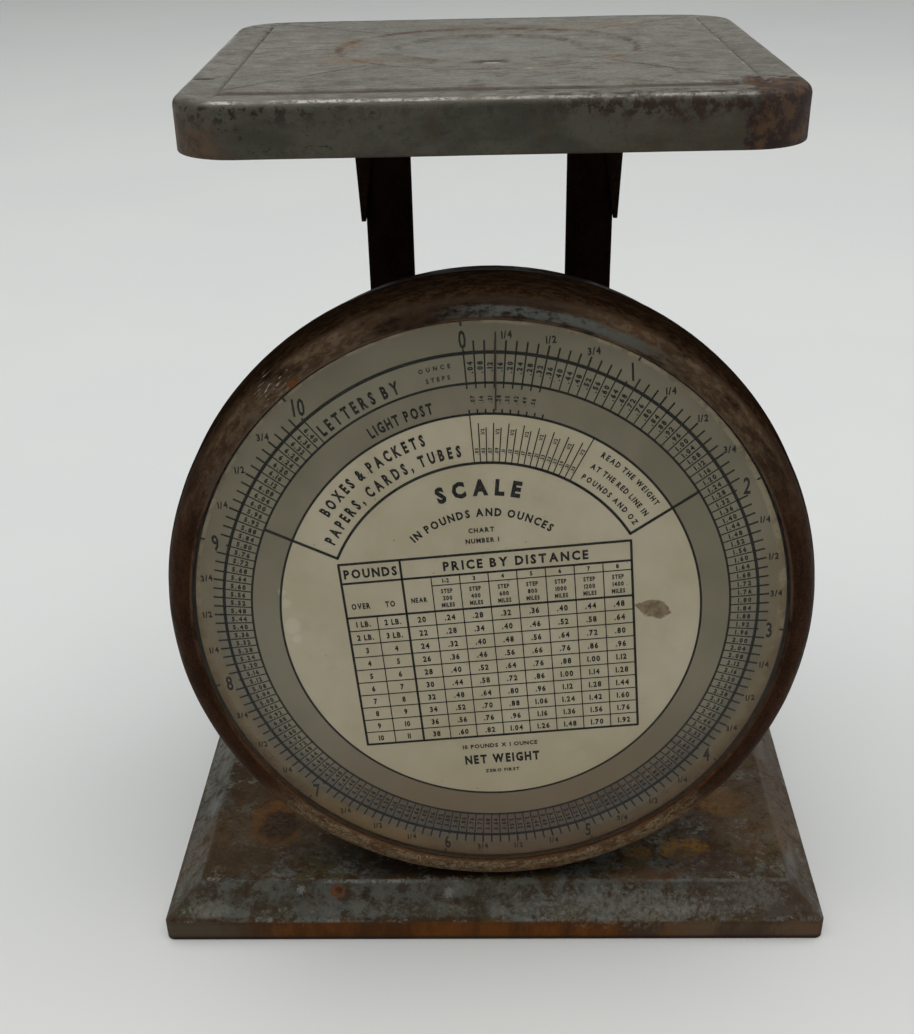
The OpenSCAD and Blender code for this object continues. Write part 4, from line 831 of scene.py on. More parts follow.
def build_platform():
    NC, NS = 16, 56
    loops = []
    base = rsq(PL_H, PL_RC, NC, NS)
    n = len(base)
    def skirt_push(x, y, z):
        # slight waviness of the pressed skirt
        w = 0.22 * smooth_noise((x, y, z), 0.045, 5.0) + 0.07 * smooth_noise((x, y, z), 0.16, 9.0)
        l = math.hypot(x, y)
        k = 1 + w / l
        return (x * k, y * k, z)
    # inner wall and underside, from the middle outwards
    def contour(inset, z, rc=None):
        rc = max(PL_RC - inset, 4.0) if rc is None else rc
        return [(x, y, z) for x, y in rsq(PL_H - inset, rc, NC, NS)]
    zi = PL_TOP - 1.0
    ci = [(15 * math.cos(math.atan2(y, x)), 15 * math.sin(math.atan2(y, x)), zi) for x, y in base]
    loops.append(ci)
    for ins in (45, 30, 15, 6):
        loops.append(contour(ins, zi))
    for a in range(0, 91, 18):
        t = math.radians(a)
        loops.append(contour(1.0 + 1.6 * (1 - math.sin(t)), PL_TOP - 2.6 + 1.6 * math.cos(t)))
    for z in (226.0, 224.0, 222.0, 220.5, 219.0, 218.6):
        loops.append([skirt_push(*p) for p in contour(1.0, z)])
    for a in (200, 225, 250, 270, 290, 315, 340):
        t = math.radians(a)
        loops.append([skirt_push(*p) for p in contour(0.5 - 0.5 * math.cos(t) * 1.0, PL_BOT + 0.5 + 0.5 * math.sin(t))])
    for z in (219.2, 220.0, 221.2, 222.5, 224.0, 225.5, 226.7, 227.5):
        loops.append([skirt_push(*p) for p in contour(0.0, z)])
    for a in range(0, 91, 9):
        t = math.radians(a)
        lp = contour(PL_RE * (1 - math.cos(t)), PL_TOP - PL_RE + PL_RE * math.sin(t))
        k = 1 - a / 90
        out = []
        for x, y, z in lp:
            sx, sy, _ = skirt_push(x, y, z)
            dz = (plat_z(x, y) - PL_TOP) * (a / 90)
            out.append((x + (sx - x) * k, y + (sy - y) * k, z + dz))
        loops.append(out)
    for ins in (3.4, 4.6, 6.0, 7.6, 8.8, 9.5, 9.9, 10.2, 10.45, 10.7, 10.95, 11.2, 11.5, 11.8, 12.1, 12.4, 12.8, 13.4, 14.5, 16.5, 19, 22, 25, 28, 31):
        rc = PL_RC - ins if ins < 9.8 else max(6.2 - (ins - 9.8) * 0.12, 3.5)
        lp = contour(ins, 0, rc)
        # fade to round before the outer ring
        k = sstep(ins, 19, 33)
        out = []
        for x, y, _ in lp:
            r = math.hypot(x, y)
            kk = k
            tgt = 42.6
            rr = r + (tgt - r) * kk if r > tgt or ins > 30 else r
            X, Y = x * rr / r, y * rr / r
            out.append((X, Y, plat_z(X, Y)))
        loops.append(out)
    rings = [42.2, 41.8, 41.5, 41.2, 40.9, 40.6, 40.3, 40.0, 39.7, 39.4, 39.0, 38.4, 37.6, 36.5, 34.5, 32, 29.5, 28, 27.2, 26.6, 26.1, 25.7, 25.4, 25.1, 24.8, 24.5, 24.2, 23.8, 23.0, 21, 18, 15, 12, 9, 6, 3]
    angs = [math.atan2(y, x) for x, y in base]
    for r in rings:
        loops.append([(r * math.cos(a), r * math.sin(a), plat_z(r * math.cos(a), r * math.sin(a))) for a in angs])
    v, f = loops_mesh(loops, close_first=(0, 0, zi), close_last=(0, 0, plat_z(0, 0)))
    # the pan was pressed and fitted by hand: it sits a degree round and nose-up
    cy, sy, tx = math.cos(0.021), math.sin(0.021), 0.008
    v = [(x * cy - y * sy, x * sy + y * cy - 0.8, z - y * tx) for x, y, z in v]
    ob = mesh_obj("platform_pan_shell", v, f, True, M_PLAT)
    return ob


pan = build_platform()
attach(pan, "platform")
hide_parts("platform_pan")


# ------------------------------------------------------------------ base
def build_base():
    H, LIP, BI, BH, T = 101.5, 6.5, 10.7, 15.0, 1.0
    NC, NS = 16, 56
    def wob(x, y, z):
        w = 0.25 * smooth_noise((x, y, z), 0.03, 15.0) + 0.08 * smooth_noise((x, y, z), 0.11, 19.0)
        return w
    def contour(inset, z, rc):
        return [(x, y, z) for x, y in rsq(H - inset, rc, NC, NS)]
    # outer profile with bend radii
    prof = [(0.05, 0.0), (0.0, 0.25), (0.0, 1.5), (0.0, 3.0), (0.0, 4.4), (0.0, 5.3)]
    # bend at the lip, then slope, then bend at the crease
    slope = math.atan2(BH - LIP, BI)          # from horizontal
    def fillet(p0, p1, p2, r, n):
        v1 = Vector(p0) - Vector(p1); v2 = Vector(p2) - Vector(p1)
        v1.normalize(); v2.normalize()
        ang = v1.angle(v2)
        t = r / math.tan(ang / 2)
        a = Vector(p1) + v1 * t; b = Vector(p1) + v2 * t
        c = Vector(p1) + (v1 + v2).normalized() * (r / math.sin(ang / 2))
        out = []
        for i in range(n + 1):
            s = i / n
            m = (a - c) * (1 - s) + (b - c) * s
            m = m.normalized() * r
            out.append(tuple(c + m))
        return out
    prof += fillet((0, 0), (0, LIP), (BI, BH), 1.1, 5)
    prof += [(3.0, LIP + 3.0 * math.tan(slope)), (5.0, LIP + 5.0 * math.tan(slope)), (7.0, LIP + 7.0 * math.tan(slope))]
    prof += fillet((0, LIP), (BI, BH), (40, BH), 2.6, 6)
    prof += [(12.8, BH), (14.5, BH), (18, BH), (24, BH), (32, BH), (42, BH), (55, BH), (70, BH)]
    def rc_for(ins):
        return max(2.5 - ins * 0.5, 0.6) if ins < 60 else 2.0
    loops = []
    # underside from the middle outward
    inner = [(70, BH - T), (40, BH - T), (20, BH - T), (BI + 0.9, BH - T), (BI + 0.2, BH - T - 0.2), (6, LIP + 6 * math.tan(slope) - 1.25), (2.2, LIP + 0.4), (1.2, LIP - 0.6), (1.0, LIP - 1.6), (1.0, 3.0), (1.0, 0.3), (0.95, 0.0)]
    for ins, z in inner:
        loops.append([(x, y, z) for x, y, z in contour(ins, z, max(1.6 - ins * 0.3, 0.5))])
    for ins, z in prof:
        lp = []
        for x, y, zz in contour(ins, z, rc_for(ins)):
            w = wob(x, y, z)
            d = max(abs(x), abs(y))
            if ins <= 0.06 and z < 0.3:
                w = 0.0
            if ins < 12:
                # sheet waviness across the bevel and lip
                l = math.hypot(x, y)
                kk = 1 + 0.35 * w / l * sstep(z, 0.3, 3.0)
                lp.append((x * kk, y * kk, zz + 0.6 * w * sstep(z, 5.5, 9.0)))
            else:
                lp.append((x, y, zz + 0.8 * w - (0.16 if ins > 14 else 0.0)))
        loops.append(lp)
    v, f = loops_mesh(loops, close_first=(0, 0, BH - T), close_last=(0, 0, BH - 0.1))
    return mesh_obj("base_plate_shell", v, f, True, M_BASE)


base = build_base()
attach(base, "stand")
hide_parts("base_plate")


# ------------------------------------------------------------------ turned pieces on the dial axis
def lathe(name, prof, mat, n=360, disp=None, closed=True):
    """prof: (radius, forward) points, closed loop"""
    verts, faces = [], []
    m = len(prof)
    for i in range(n):
        a = 2 * math.pi * i / n
        ca, sa = math.cos(a), math.sin(a)
        for j, (r, f) in enumerate(prof):
            if disp:
                dr, df = disp(a, r, f)
                r, f = r + dr, f + df
            verts.append((r * sa, -f, DZ + r * ca))
    for i in range(n):
        k = (i + 1) % n
        for j in range(m if closed else m - 1):
            l = (j + 1) % m
            faces.append((i * m + j, k * m + j, k * m + l, i * m + l))
    return mesh_obj(name, verts, faces, True, mat)


def bezel_profile():
    p = [(88.05, 75.15), (88.6, 75.15), (88.75, 75.35)]
    for f in (76.4, 77.8, 79.2, 80.6, 82.0, 83.2):
        p.append((88.75, f))
    for i in range(0, 23):
        t = math.radians(i * 4.0)
        p.append((83.55 + 5.2 * math.cos(t), 84.0 + 7.6 * math.sin(t)))
    p += [(83.1, 91.63), (82.5, 91.6), (82.0, 91.5), (81.6, 91.32), (81.36, 91.05), (81.3, 90.78), (81.36, 90.62), (82.0, 90.6), (82.8, 90.6)]
    for i in range(20, -1, -2):
        t = math.radians(i * 4.4)
        p.append((83.55 + 4.45 * math.cos(t), 84.0 + 6.85 * math.sin(t)))
    p += [(88.05, 81.0), (88.05, 78.0)]
    return p


def bez_disp(a, r, f):
    q = (math.sin(a) * 86, math.cos(a) * 86, f * 0.8)
    w = 0.20 * smooth_noise(q, 0.05, 31.0) + 0.10 * smooth_noise(q, 0.16, 37.0)
    s = sstep(f, 78, 85)
    inner = 1 - sstep(r, 81.2, 82.0) * 0.6
    return (w * 0.5 * (0.25 + 0.75 * s), w * 0.5 * s * (1 - inner * 0.5))


bez = lathe("drum_bezel_ring", bezel_profile(), M_BEZ, 420, bez_disp)
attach(bez, "stand")
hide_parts("drum_bezel")


# ------------------------------------------------------------------ springs
def build_spring(name, x0, node):
    lo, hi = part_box(node)
    zb, zt = lo.z / MM, hi.z / MM
    wr, cr, hr = 0.45, 3.7, 2.6
    sx = 1.0 if x0 > 0 else -1.0     # the two springs are mirror images, open ends outward
    path = []
    # lower hook, body, upper hook along one wire
    zb_c, zt_c = zb + 2 * hr + 2 * wr + 1.2, zt - 2 * hr - 2 * wr - 1.2
    turns = int((zt_c - zb_c) / 1.18)
    cy = -8.0
    for i in range(22):          # lower hook: loop in the XZ plane
        t = math.radians(-250 + i * 340 / 21)
        path.append((x0 + sx * hr * math.sin(t + math.pi), cy, zb + wr + hr + hr * math.cos(t + math.pi)))
    path.append((x0 + sx * 1.8, cy + 0.7, zb_c - 0.4))
    steps = turns * 22
    for i in range(steps + 1):
        t = 2 * math.pi * i / 22
        path.append((x0 + sx * cr * math.cos(t), cy + cr * math.sin(t), zb_c + (zt_c - zb_c) * i / steps))
    path.append((x0 + sx * 1.8, cy - 0.7, zt_c + 0.4))
    for i in range(22):
        t = math.radians(-70 + i * 340 / 21)
        path.append((x0 + sx * hr * math.sin(t + math.pi), cy, zt - wr - hr + hr * math.cos(t + math.pi)))
    P = [Vector(p) for p in path]
    ns = 8
    verts, faces = [], []
    nrm = None
    for i, p in enumerate(P):
        t = (P[min(i + 1, len(P) - 1)] - P[max(i - 1, 0)]).normalized()
        if nrm is None:
            nrm = t.orthogonal().normalized()
        nrm = (nrm - t * nrm.dot(t)).normalized()
        b = t.cross(nrm)
        for k in range(ns):
            a = 2 * math.pi * k / ns
            verts.append(tuple(p + (nrm * math.cos(a) + b * math.sin(a)) * wr))
    for i in range(len(P) - 1):
        for k in range(ns):
            l = (k + 1) % ns
            faces.append((i * ns + k, i * ns + l, (i + 1) * ns + l, (i + 1) * ns + k))
    faces.append(tuple(range(ns - 1, -1, -1)))
    o = (len(P) - 1) * ns
    faces.append(tuple(range(o, o + ns)))
    ob = mesh_obj(name, verts, faces, True, M_SPRING)
    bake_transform(ob)
    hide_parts(node)
    return ob


build_spring("spring_wire_left", -11.5, "spring_left")
build_spring("spring_wire_right", 11.5, "spring_right")


# ------------------------------------------------------------------ dial print
ART = math.radians(4.7)        # the card stands turned a little at rest
R1, R2, R3, R4 = 73.54, 65.93, 58.01, 45.08
Y_BACK, Y_FRONT = 88.98, 89.05


class Ink:
    def __init__(self):
        self.v, self.f = [], []

    def prism(self, pts):
        """closed plate from a 2-D outline (counter-clockwise, card plane)"""
        n = len(pts); o = len(self.v)
        c, s = math.cos(ART), math.sin(ART)
        for yy in (Y_FRONT, Y_BACK):
            for x, z in pts:
                self.v.append(((x * c - z * s) * DS, -yy, DZ + (x * s + z * c) * DS))
        self.f.append(tuple(range(o, o + n)))
        self.f.append(tuple(range(o + 2 * n - 1, o + n - 1, -1)))
        for i in range(n):
            j = (i + 1) % n
            self.f.append((o + i, o + n + i, o + n + j, o + j))

    def line(self, a, b, w):
        d = Vector((b[0] - a[0], b[1] - a[1])).normalized() * (w * 0.62)
        nx, nz = -d.y, d.x
        self.prism([(a[0] - nx, a[1] - nz), (b[0] - nx, b[1] - nz), (b[0] + nx, b[1] + nz), (a[0] + nx, a[1] + nz)])

    def radial(self, deg, r0, r1, w):
        t = math.radians(deg)
        s, c = math.sin(t), math.cos(t)
        self.line((r0 * s, r0 * c), (r1 * s, r1 * c), w)

    def arc(self, r, w, a0=0.0, a1=360.0, step=1.5):
        full = abs(a1 - a0 - 360) < 1e-6
        n = max(3, int(round((a1 - a0) / step)))
        o = len(self.v)
        c, s = math.cos(ART), math.sin(ART)
        cnt = n if full else n + 1
        for i in range(cnt):
            t = math.radians(a0 + (a1 - a0) * i / n)
            for rr, yy in ((r - w * 0.6, Y_FRONT), (r + w * 0.6, Y_FRONT), (r + w * 0.6, Y_BACK), (r - w * 0.6, Y_BACK)):
                x, z = rr * math.sin(t), rr * math.cos(t)
                self.v.append(((x * c - z * s) * DS, -yy, DZ + (x * s + z * c) * DS))
        for i in range(n):
            j = (i + 1) % cnt
            for k in range(4):
                l = (k + 1) % 4
                self.f.append((o + i * 4 + k, o + j * 4 + k, o + j * 4 + l, o + i * 4 + l))
        if not full:
            self.f.append((o + 3, o + 2, o + 1, o))
            e = o + n * 4
            self.f.append((e, e + 1, e + 2, e + 3))

    def glyph(self, gl, x, z, rot, sx, sz):
        """gl: (verts, faces) at cap height 1; placed at x,z turned by rot (radians, counter-clockwise)"""
        gv, gf = gl
        o = len(self.v)
        cr, sr = math.cos(rot), math.sin(rot)
        c, s = math.cos(ART), math.sin(ART)
        for gx, gy, gz in gv:
            px, pz = gx * sx, gy * sz
            X, Z = x + px * cr - pz * sr, z + px * sr + pz * cr
            self.v.append(((X * c - Z * s) * DS, -(Y_FRONT if gz > 0 else Y_BACK), DZ + (X * s + Z * c) * DS))
        for f in gf:
            self.f.append(tuple(o + i for i in f))

    def build(self, name):
        ob = mesh_obj(name, self.v, self.f, False, M_INK)
        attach(ob, "dial")
        return ob


_gly = {}


def glyph(ch, bold):
    key = (ch, round(bold, 4))
    if key in _gly:
        return _gly[key]
    cu = bpy.data.curves.new("tmp_glyph", "FONT")
    cu.body = ch
    cu.size = 1.0
    cu.resolution_u = 2
    cu.extrude = 0.05
    cu.offset = bold + 0.036
    ob = bpy.data.objects.new("tmp_glyph", cu)
    scene.collection.objects.link(ob)
    dg = bpy.context.evaluated_depsgraph_get()
    me = bpy.data.meshes.new_from_object(ob.evaluated_get(dg))
    bm = bmesh.new()
    bm.from_mesh(me)
    bmesh.ops.remove_doubles(bm, verts=bm.verts, dist=1e-5)
    vs = [tuple(v.co) for v in bm.verts]
    bm.verts.index_update()
    fs = [tuple(v.index for v in f.verts) for f in bm.faces]
    bm.free()
    bpy.data.objects.remove(ob)
    bpy.data.curves.remove(cu)
    bpy.data.meshes.remove(me)
    if vs:
        x0, x1 = min(v[0] for v in vs), max(v[0] for v in vs)
    else:
        x0, x1 = 0.0, 0.3
    _gly[key] = (vs, fs, x0, x1)
    return _gly[key]


_H = glyph("H", 0.0)
CAP = max(v[1] for v in _H[0]) - min(v[1] for v in _H[0])


def layout(txt, h, xs, track, bold):
    """list of (glyph, centre offset, scale) and total width, in mm"""
    s = h / CAP
    items, x = [], 0.0
    for ch in txt:
        if ch == " ":
            x += h * 0.42 * xs / 0.8
            continue
        vs, fs, x0, x1 = glyph(ch, bold)
        w = (x1 - x0) * s * xs
        items.append(((vs, fs), x - x0 * s * xs, w, x + w / 2))
        x += w + track * h
    width = x - track * h
    return items, width, s


def put_text(ink, txt, x, z, h, rot=0.0, xs=0.8, track=0.14, bold=0.0, fit=None):
    """centred on x,z"""
    items, width, s = layout(txt, h, xs, track, bold)
    if fit and width > fit:
        k = fit / width
        xs *= k
        items, width, s = layout(txt, h, xs, track * k, bold)
    rr = math.radians(rot)
    c, sn = math.cos(rr), math.sin(rr)
    for gl, off, w, mid in items:
        lx, lz = off - width / 2, -h / 2
        ink.glyph(gl, x + lx * c - lz * sn, z + lx * sn + lz * c, rr, s * xs, s)


def arc_text(ink, txt, r, a_mid, h, span=None, xs=0.8, track=0.2, bold=0.0):
    """reads clockwise over the top, letters upright away from the centre, centred at angle a_mid (deg); span stretches the spacing"""
    items, width, s = layout(txt, h, xs, track, bold)
    if span:
        want = math.radians(span) * r
        extra = (want - width) / max(len(txt) - 1, 1)
        track2 = track + extra / h
        items, width, s = layout(txt, h, xs, track2, bold)
    for gl, off, w, mid in items:
        t = math.radians(a_mid) + (mid - width / 2) / r
        rot = -t
        rb = r - h / 2
        # place the glyph's baseline centre on the circle
        cx, cz = rb * math.sin(t), rb * math.cos(t)
        lx = off - mid
        ink.glyph(gl, cx + lx * math.cos(rot), cz + lx * math.sin(rot), rot, s * xs, s)


LB = 32.5
OZ = LB / 16

rings = Ink()
rings.arc(R1, 0.72)
rings.arc(R2, 0.50)
rings.arc(R3, 0.52)
rings.arc(R4, 0.62, -61, 61)
rings.radial(-61, R4 - 0.3, R2 + 0.1, 0.62)
rings.radial(61, R4 - 0.3, R2 + 0.1, 0.62)
rings.build("print_rings")

ticks = Ink()
for n in range(0, 161):
    a = n * OZ
    lb = n % 16 == 0
    inner = R2 - (1.35 if n <= 8 else 0.0)
    ticks.radial(a, inner, R1, 0.26 if not (n <= 8) else 0.32)
    if lb:
        ticks.radial(a, R1, R1 + 0.9, 0.40)
        ticks.radial(a, 80.2, 81.25, 0.42)
    else:
        ticks.radial(a, R1, R1 + 2.95, 0.38 if n % 4 else 0.42)
for k in range(0, 10):
    ticks.radial(k * OZ * 1.0, R3, R3 + 1.25, 0.34)
ticks.build("print_ounce_ticks")

cells = Ink()
for n in range(1, 161):
    t = (n - 0.5) * OZ
    v = 0.04 * n
    s = ("%.2f" % v).lstrip("0")
    right = t < 180
    rm = (R1 + R2) / 2 + (0.15 if right else 0)
    a = math.radians(t)
    rot = 90 - t if right else 270 - t
    put_text(cells, s, rm * math.sin(a), rm * math.cos(a), 1.38, rot, 0.92, 0.26, 0.016, fit=5.6)
for n in range(1, 9):
    t = (n - 0.5) * OZ
    a = math.radians(t)
    rm = 61.7
    put_text(cells, ("%.2f" % (0.07 * n)).lstrip("0"), rm * math.sin(a), rm * math.cos(a), 1.12, 90 - t, 0.88, 0.24, 0.004)
cells.build("print_cell_figures")

nums = Ink()
for n in range(0, 11):
    a = math.radians(n * LB)
    rr = 77.35 if n else 77.1
    x, z = rr * math.sin(a), rr * math.cos(a)
    if n == 10:
        x, z = 77.2 * math.sin(math.radians(326.1)), 77.2 * math.cos(math.radians(326.1))
    put_text(nums, str(n), x, z, 4.75, 0, 0.62, 0.16, -0.014)
for n in range(1, 161):
    if n % 16 == 0 or n % 4:
        continue
    a = math.radians(n * OZ)
    lab = {4: "1/4", 8: "1/2", 12: "3/4"}[n % 16]
    # set on the tick's end, pushed clear of the card's edge
    k = abs(math.sin(a))
    rr = 77.9 + 0.55 * k
    put_text(nums, lab, rr * math.sin(a), rr * math.cos(a), 1.85, 0, 0.86, 0.10, 0.002)
nums.build("print_pound_figures")

words = Ink()
arc_text(words, "LETTERS BY", 69.0, -24.2, 3.3, 20.0, 0.62, 0.2, 0.010)
arc_text(words, "OUNCE", 70.9, -6.2, 1.15, 6.6, 0.95, 0.4)
arc_text(words, "STEPS", 68.1, -5.9, 1.15, 5.2, 0.95, 0.4)
arc_text(words, "LIGHT POST", 61.3, -17.0, 2.9, 16.6, 0.62, 0.2, 0.008)
arc_text(words, "BOXES & PACKETS", 54.0, -31.5, 3.1, 37.5, 0.62, 0.16, 0.012)
arc_text(words, "PAPERS, CARDS, TUBES", 48.9, -30.4, 3.1, 54.5, 0.62, 0.16, 0.012)
arc_text(words, "READ THE WEIGHT", 55.4, 47.2, 1.55, 21.5, 0.82, 0.2, 0.004)
arc_text(words, "AT THE RED LINE IN", 51.5, 47.2, 1.55, 23.0, 0.82, 0.2, 0.004)
arc_text(words, "POUNDS AND OZ", 47.9, 47.2, 1.55, 24.5, 0.82, 0.2, 0.004)
arc_text(words, "SCALE", 38.6, 0.4, 4.3, 34.0, 0.86, 0.2, 0.022)
arc_text(words, "IN POUNDS AND OUNCES", 31.6, 0.2, 2.25, 74.0, 0.86, 0.2, 0.006)
put_text(words, "CHART", 0, 26.6, 1.35, 0, 0.95, 0.2, 0.004)
put_text(words, "NUMBER 1", 0, 23.6, 1.35, 0, 0.95, 0.2, 0.004)
put_text(words, "10 POUNDS X 1 OUNCE", -0.9, -41.1, 1.35, 0, 1.0, 0.16, 0.003, fit=36)
put_text(words, "NET WEIGHT", -0.6, -45.6, 3.0, 0, 0.72, 0.17, 0.014, fit=22.4)
put_text(words, "ZERO FIRST", -0.9, -49.9, 1.1, 0, 1.05, 0.2, 0.003, fit=12.2)
# ounce sector between r4 and r3
for k in range(0, 17):
    t = k * OZ
    words.radial(t, R4, R3 - 0.2 if k % 16 == 0 else R3 - 2.4 - (0 if k % 2 else 1.2), 0.24)
for k in range(1, 17):
    t = (k - 0.5) * OZ
    a = math.radians(t)
    put_text(words, ("%.2f" % (0.02 * k + 0.01)).lstrip("0"), 48.2 * math.sin(a), 48.2 * math.cos(a), 0.95, 90 - t, 0.9, 0.2, 0.002)
    if k % 2 == 0:
        put_text(words, "1/2", 53.4 * math.sin(a), 53.4 * math.cos(a), 0.95, 90 - t, 0.9, 0.12, 0.002)
words.build("print_words")

# rate table
tab = Ink()
TX0, TX1, TZ1, TZ0 = -39.55, 39.55, 19.9, -37.75
HW = 0.55
WC, LC = 8.34, 7.9
ZW = (TX1 - TX0 - 2 * WC - LC) / 7
rows = [TZ1, TZ1 - 5.73, TZ1 - 5.73 - 10.45]
RH = (rows[2] - TZ0) / 10
for k in range(10):
    rows.append(rows[2] - RH * (k + 1))
for z, w in ((TZ1, HW), (rows[1], 0.5), (rows[2], 0.5)):
    tab.line((TX0 - 0.25, z), (TX1 + 0.25, z), w)
for z in rows[3:-1]:
    tab.line((TX0, z), (TX1, z), 0.24)
tab.line((TX0 - 0.25, TZ0), (TX1 + 0.25, TZ0), HW)
tab.line((TX0, TZ1), (TX0, TZ0), HW)
tab.line((TX1, TZ1), (TX1, TZ0), HW)
xw = TX0 + 2 * WC
tab.line((xw, TZ1), (xw, TZ0), 0.52)
tab.line((TX0 + WC, rows[2]), (TX0 + WC, TZ0), 0.24)
cols = [xw, xw + LC] + [xw + LC + ZW * (i + 1) for i in range(7)]
for x in cols[1:-1]:
    tab.line((x, rows[1]), (x, TZ0), 0.24)
tab.line((xw + LC, rows[1] - 2.7), (TX1, rows[1] - 2.7), 0.24)
put_text(tab, "POUNDS", TX0 + WC, (TZ1 + rows[1]) / 2, 2.7, 0, 0.85, 0.2, 0.006, fit=14.6)
put_text(tab, "PRICE BY DISTANCE", (xw + TX1) / 2, (TZ1 + rows[1]) / 2, 2.7, 0, 0.9, 0.24, 0.006, fit=58)
sub_z = rows[1] - 2.7
mid_z = (sub_z + rows[2]) / 2
put_text(tab, "OVER", TX0 + WC * 0.5 + 0.2, mid_z - 0.4, 1.75, 0, 0.72, 0.14, 0.006)
put_text(tab, "TO", TX0 + WC * 1.5, mid_z - 0.4, 1.75, 0, 0.72, 0.14, 0.006)
put_text(tab, "NEAR", xw + LC / 2, mid_z, 1.5, 0, 0.72, 0.14, 0.006)
heads = ["1-2"] + [str(i) for i in range(3, 9)]
for i, hd in enumerate(heads):
    xc = xw + LC + ZW * (i + 0.5)
    put_text(tab, hd, xc, rows[1] - 1.35, 1.3, 0, 0.9, 0.12, 0.002)
    l1 = "STEP"
    put_text(tab, l1, xc, sub_z - 1.75, 1.3, 0, 0.74, 0.12, 0.006, fit=6.6)
    put_text(tab, "%d" % ((i + 1) * 200), xc, sub_z - 3.9, 1.3, 0, 0.84, 0.12, 0.006, fit=6.6)
    put_text(tab, "MILES", xc, sub_z - 6.0, 1.3, 0, 0.74, 0.12, 0.006, fit=6.6)
for k in range(10):
    zc = (rows[2 + k] + rows[3 + k]) / 2
    fr = "%d%s" % (k + 1, " LB." if k < 2 else "")
    to = "%d%s" % (k + 2, " LB." if k < 2 else "")
    put_text(tab, fr, TX0 + WC * 0.5 + 0.1, zc, 1.75, 0, 0.8, 0.12, 0.006, fit=6.6)
    put_text(tab, to, TX0 + WC * 1.5, zc, 1.75, 0, 0.8, 0.12, 0.006, fit=6.6)
    put_text(tab, "%d" % (20 + 2 * k), xw + LC / 2, zc, 1.75, 0, 0.85, 0.14, 0.006)
    for i in range(7):
        v = 0.20 + 0.04 * (i + 1) + k * (0.02 * (i + 2))
        s = ("%.2f" % v).lstrip("0")
        put_text(tab, s, xw + LC + ZW * (i + 0.5), zc, 1.75, 0, 0.85, 0.14, 0.006, fit=6.4)
tab.build("print_rate_table")


# ------------------------------------------------------------------ finish of the CAD pieces
def finish_node(name, mat, bevel=None, seg=2, smooth=35, slot=None):
    o = N[name]
    setmat(o, mat)
    if smooth is not None:
        o.data.shade_smooth()
    if bevel:
        w = o.modifiers.new("weld", "WELD")
        w.merge_threshold = 1e-6
        m = o.modifiers.new("edge", "BEVEL")
        m.width = bevel * MM
        m.segments = seg
        m.limit_method = "ANGLE"
        m.angle_limit = math.radians(40)
        m.harden_normals = False
        m.use_clamp_overlap = True


def smooth_angle(name, deg=35):
    """split normals by angle through a modifier, the mesh stays as it is"""
    o = N[name]
    m = o.modifiers.new("split", "EDGE_SPLIT")
    m.split_angle = math.radians(deg)
    m.use_edge_sharp = False


for nm in ("housing_front", "housing_cover", "housing_cap"):
    finish_node(nm, M_DARK, 0.22)
for nm in ("mech_frame", "arbor_bridge", "upper_yoke", "lower_yoke", "upper_check_link", "lower_check_link"):
    finish_node(nm, M_DARK2, 0.16)
for nm in ("strap_left", "strap_right", "platform_bracket"):
    finish_node(nm, M_LEG, 0.28, 3)
finish_node("drum_shell", M_DRUM)
finish_node("lens_retainer", M_RETAIN)
finish_node("dial_lens", M_LENS)
finish_node("dial_plate", M_DIAL)
finish_node("hairline_index", M_HAIR, 0.05, 1)
for nm in ("dial_hub", "pinion_gear", "front_bush", "rear_bush", "zero_knob"):
    finish_node(nm, M_BRASS, 0.06 if nm != "zero_knob" else 0.12, 1)
for nm in ("dial_arbor", "rack_bar", "rack_pin", "rack_leaf_spring", "spring_hanger", "zero_screw", "yoke_pins",
           "upper_frame_pin", "lower_frame_pin", "pin_collars"):
    finish_node(nm, M_STEEL, 0.06, 1)
for nm in ("strap_rivets", "bracket_rivets", "base_screws", "frame_screws", "drum_screws", "bridge_screws", "cap_screws"):
    finish_node(nm, M_SCREW, 0.08, 1)
finish_node("stop_bumper", M_RUB)
for nm in N:
    if not N[nm].hide_render:
        smooth_angle(nm, 32)


# ------------------------------------------------------------------ stage, light, camera
def build_stage():
    s = 6.0
    # seamless floor that curves up far behind
    verts, faces = [], []
    prof = [(-4.0, 0.0), (2.6, 0.0)]
    for i in range(1, 13):
        a = math.radians(90 * i / 12)
        prof.append((2.6 + 1.4 * math.sin(a), 1.4 * (1 - math.cos(a))))
    prof.append((4.0, 4.0))
    for x in (-s, s):
        for y, z in prof:
            verts.append((x, y, z - 0.0002))
    n = len(prof)
    for i in range(n - 1):
        faces.append((i, n + i, n + i + 1, i + 1))
    me = bpy.data.meshes.new("floor")
    me.from_pydata(verts, [], faces)
    me.shade_smooth()
    ob = bpy.data.objects.new("floor", me)
    scene.collection.objects.link(ob)
    g = G("floor_paper")
    n1 = g.noise(0.004, 3, 0.5, seed=301)
    n2 = g.noise(0.5, 3, 0.6, seed=302)
    col = g.mix(g.mr(n1, 0.35, 0.65), (0.735, 0.752, 0.748), (0.755, 0.768, 0.762))
    # warmer towards the front
    col = g.mix(g.mr(g.y, 0, -260), col, (0.760, 0.752, 0.738))
    g.bsdf(col, g.mr(n2, 0.3, 0.7, 0.50, 0.62), spec=0.25, normal=g.bump(n2, 0.03, 0.3))
    me.materials.append(g.m)


build_stage()


def area(name, loc, target, size, power, color=(1, 1, 1), size_y=None):
    li = bpy.data.lights.new(name, "AREA")
    li.energy = power
    li.color = color
    li.shape = "RECTANGLE"
    li.size = size
    li.size_y = size_y or size
    ob = bpy.data.objects.new(name, li)
    scene.collection.objects.link(ob)
    ob.location = loc
    d = Vector(target) - Vector(loc)
    ob.rotation_euler = d.to_track_quat("-Z", "Y").to_euler()
    return ob


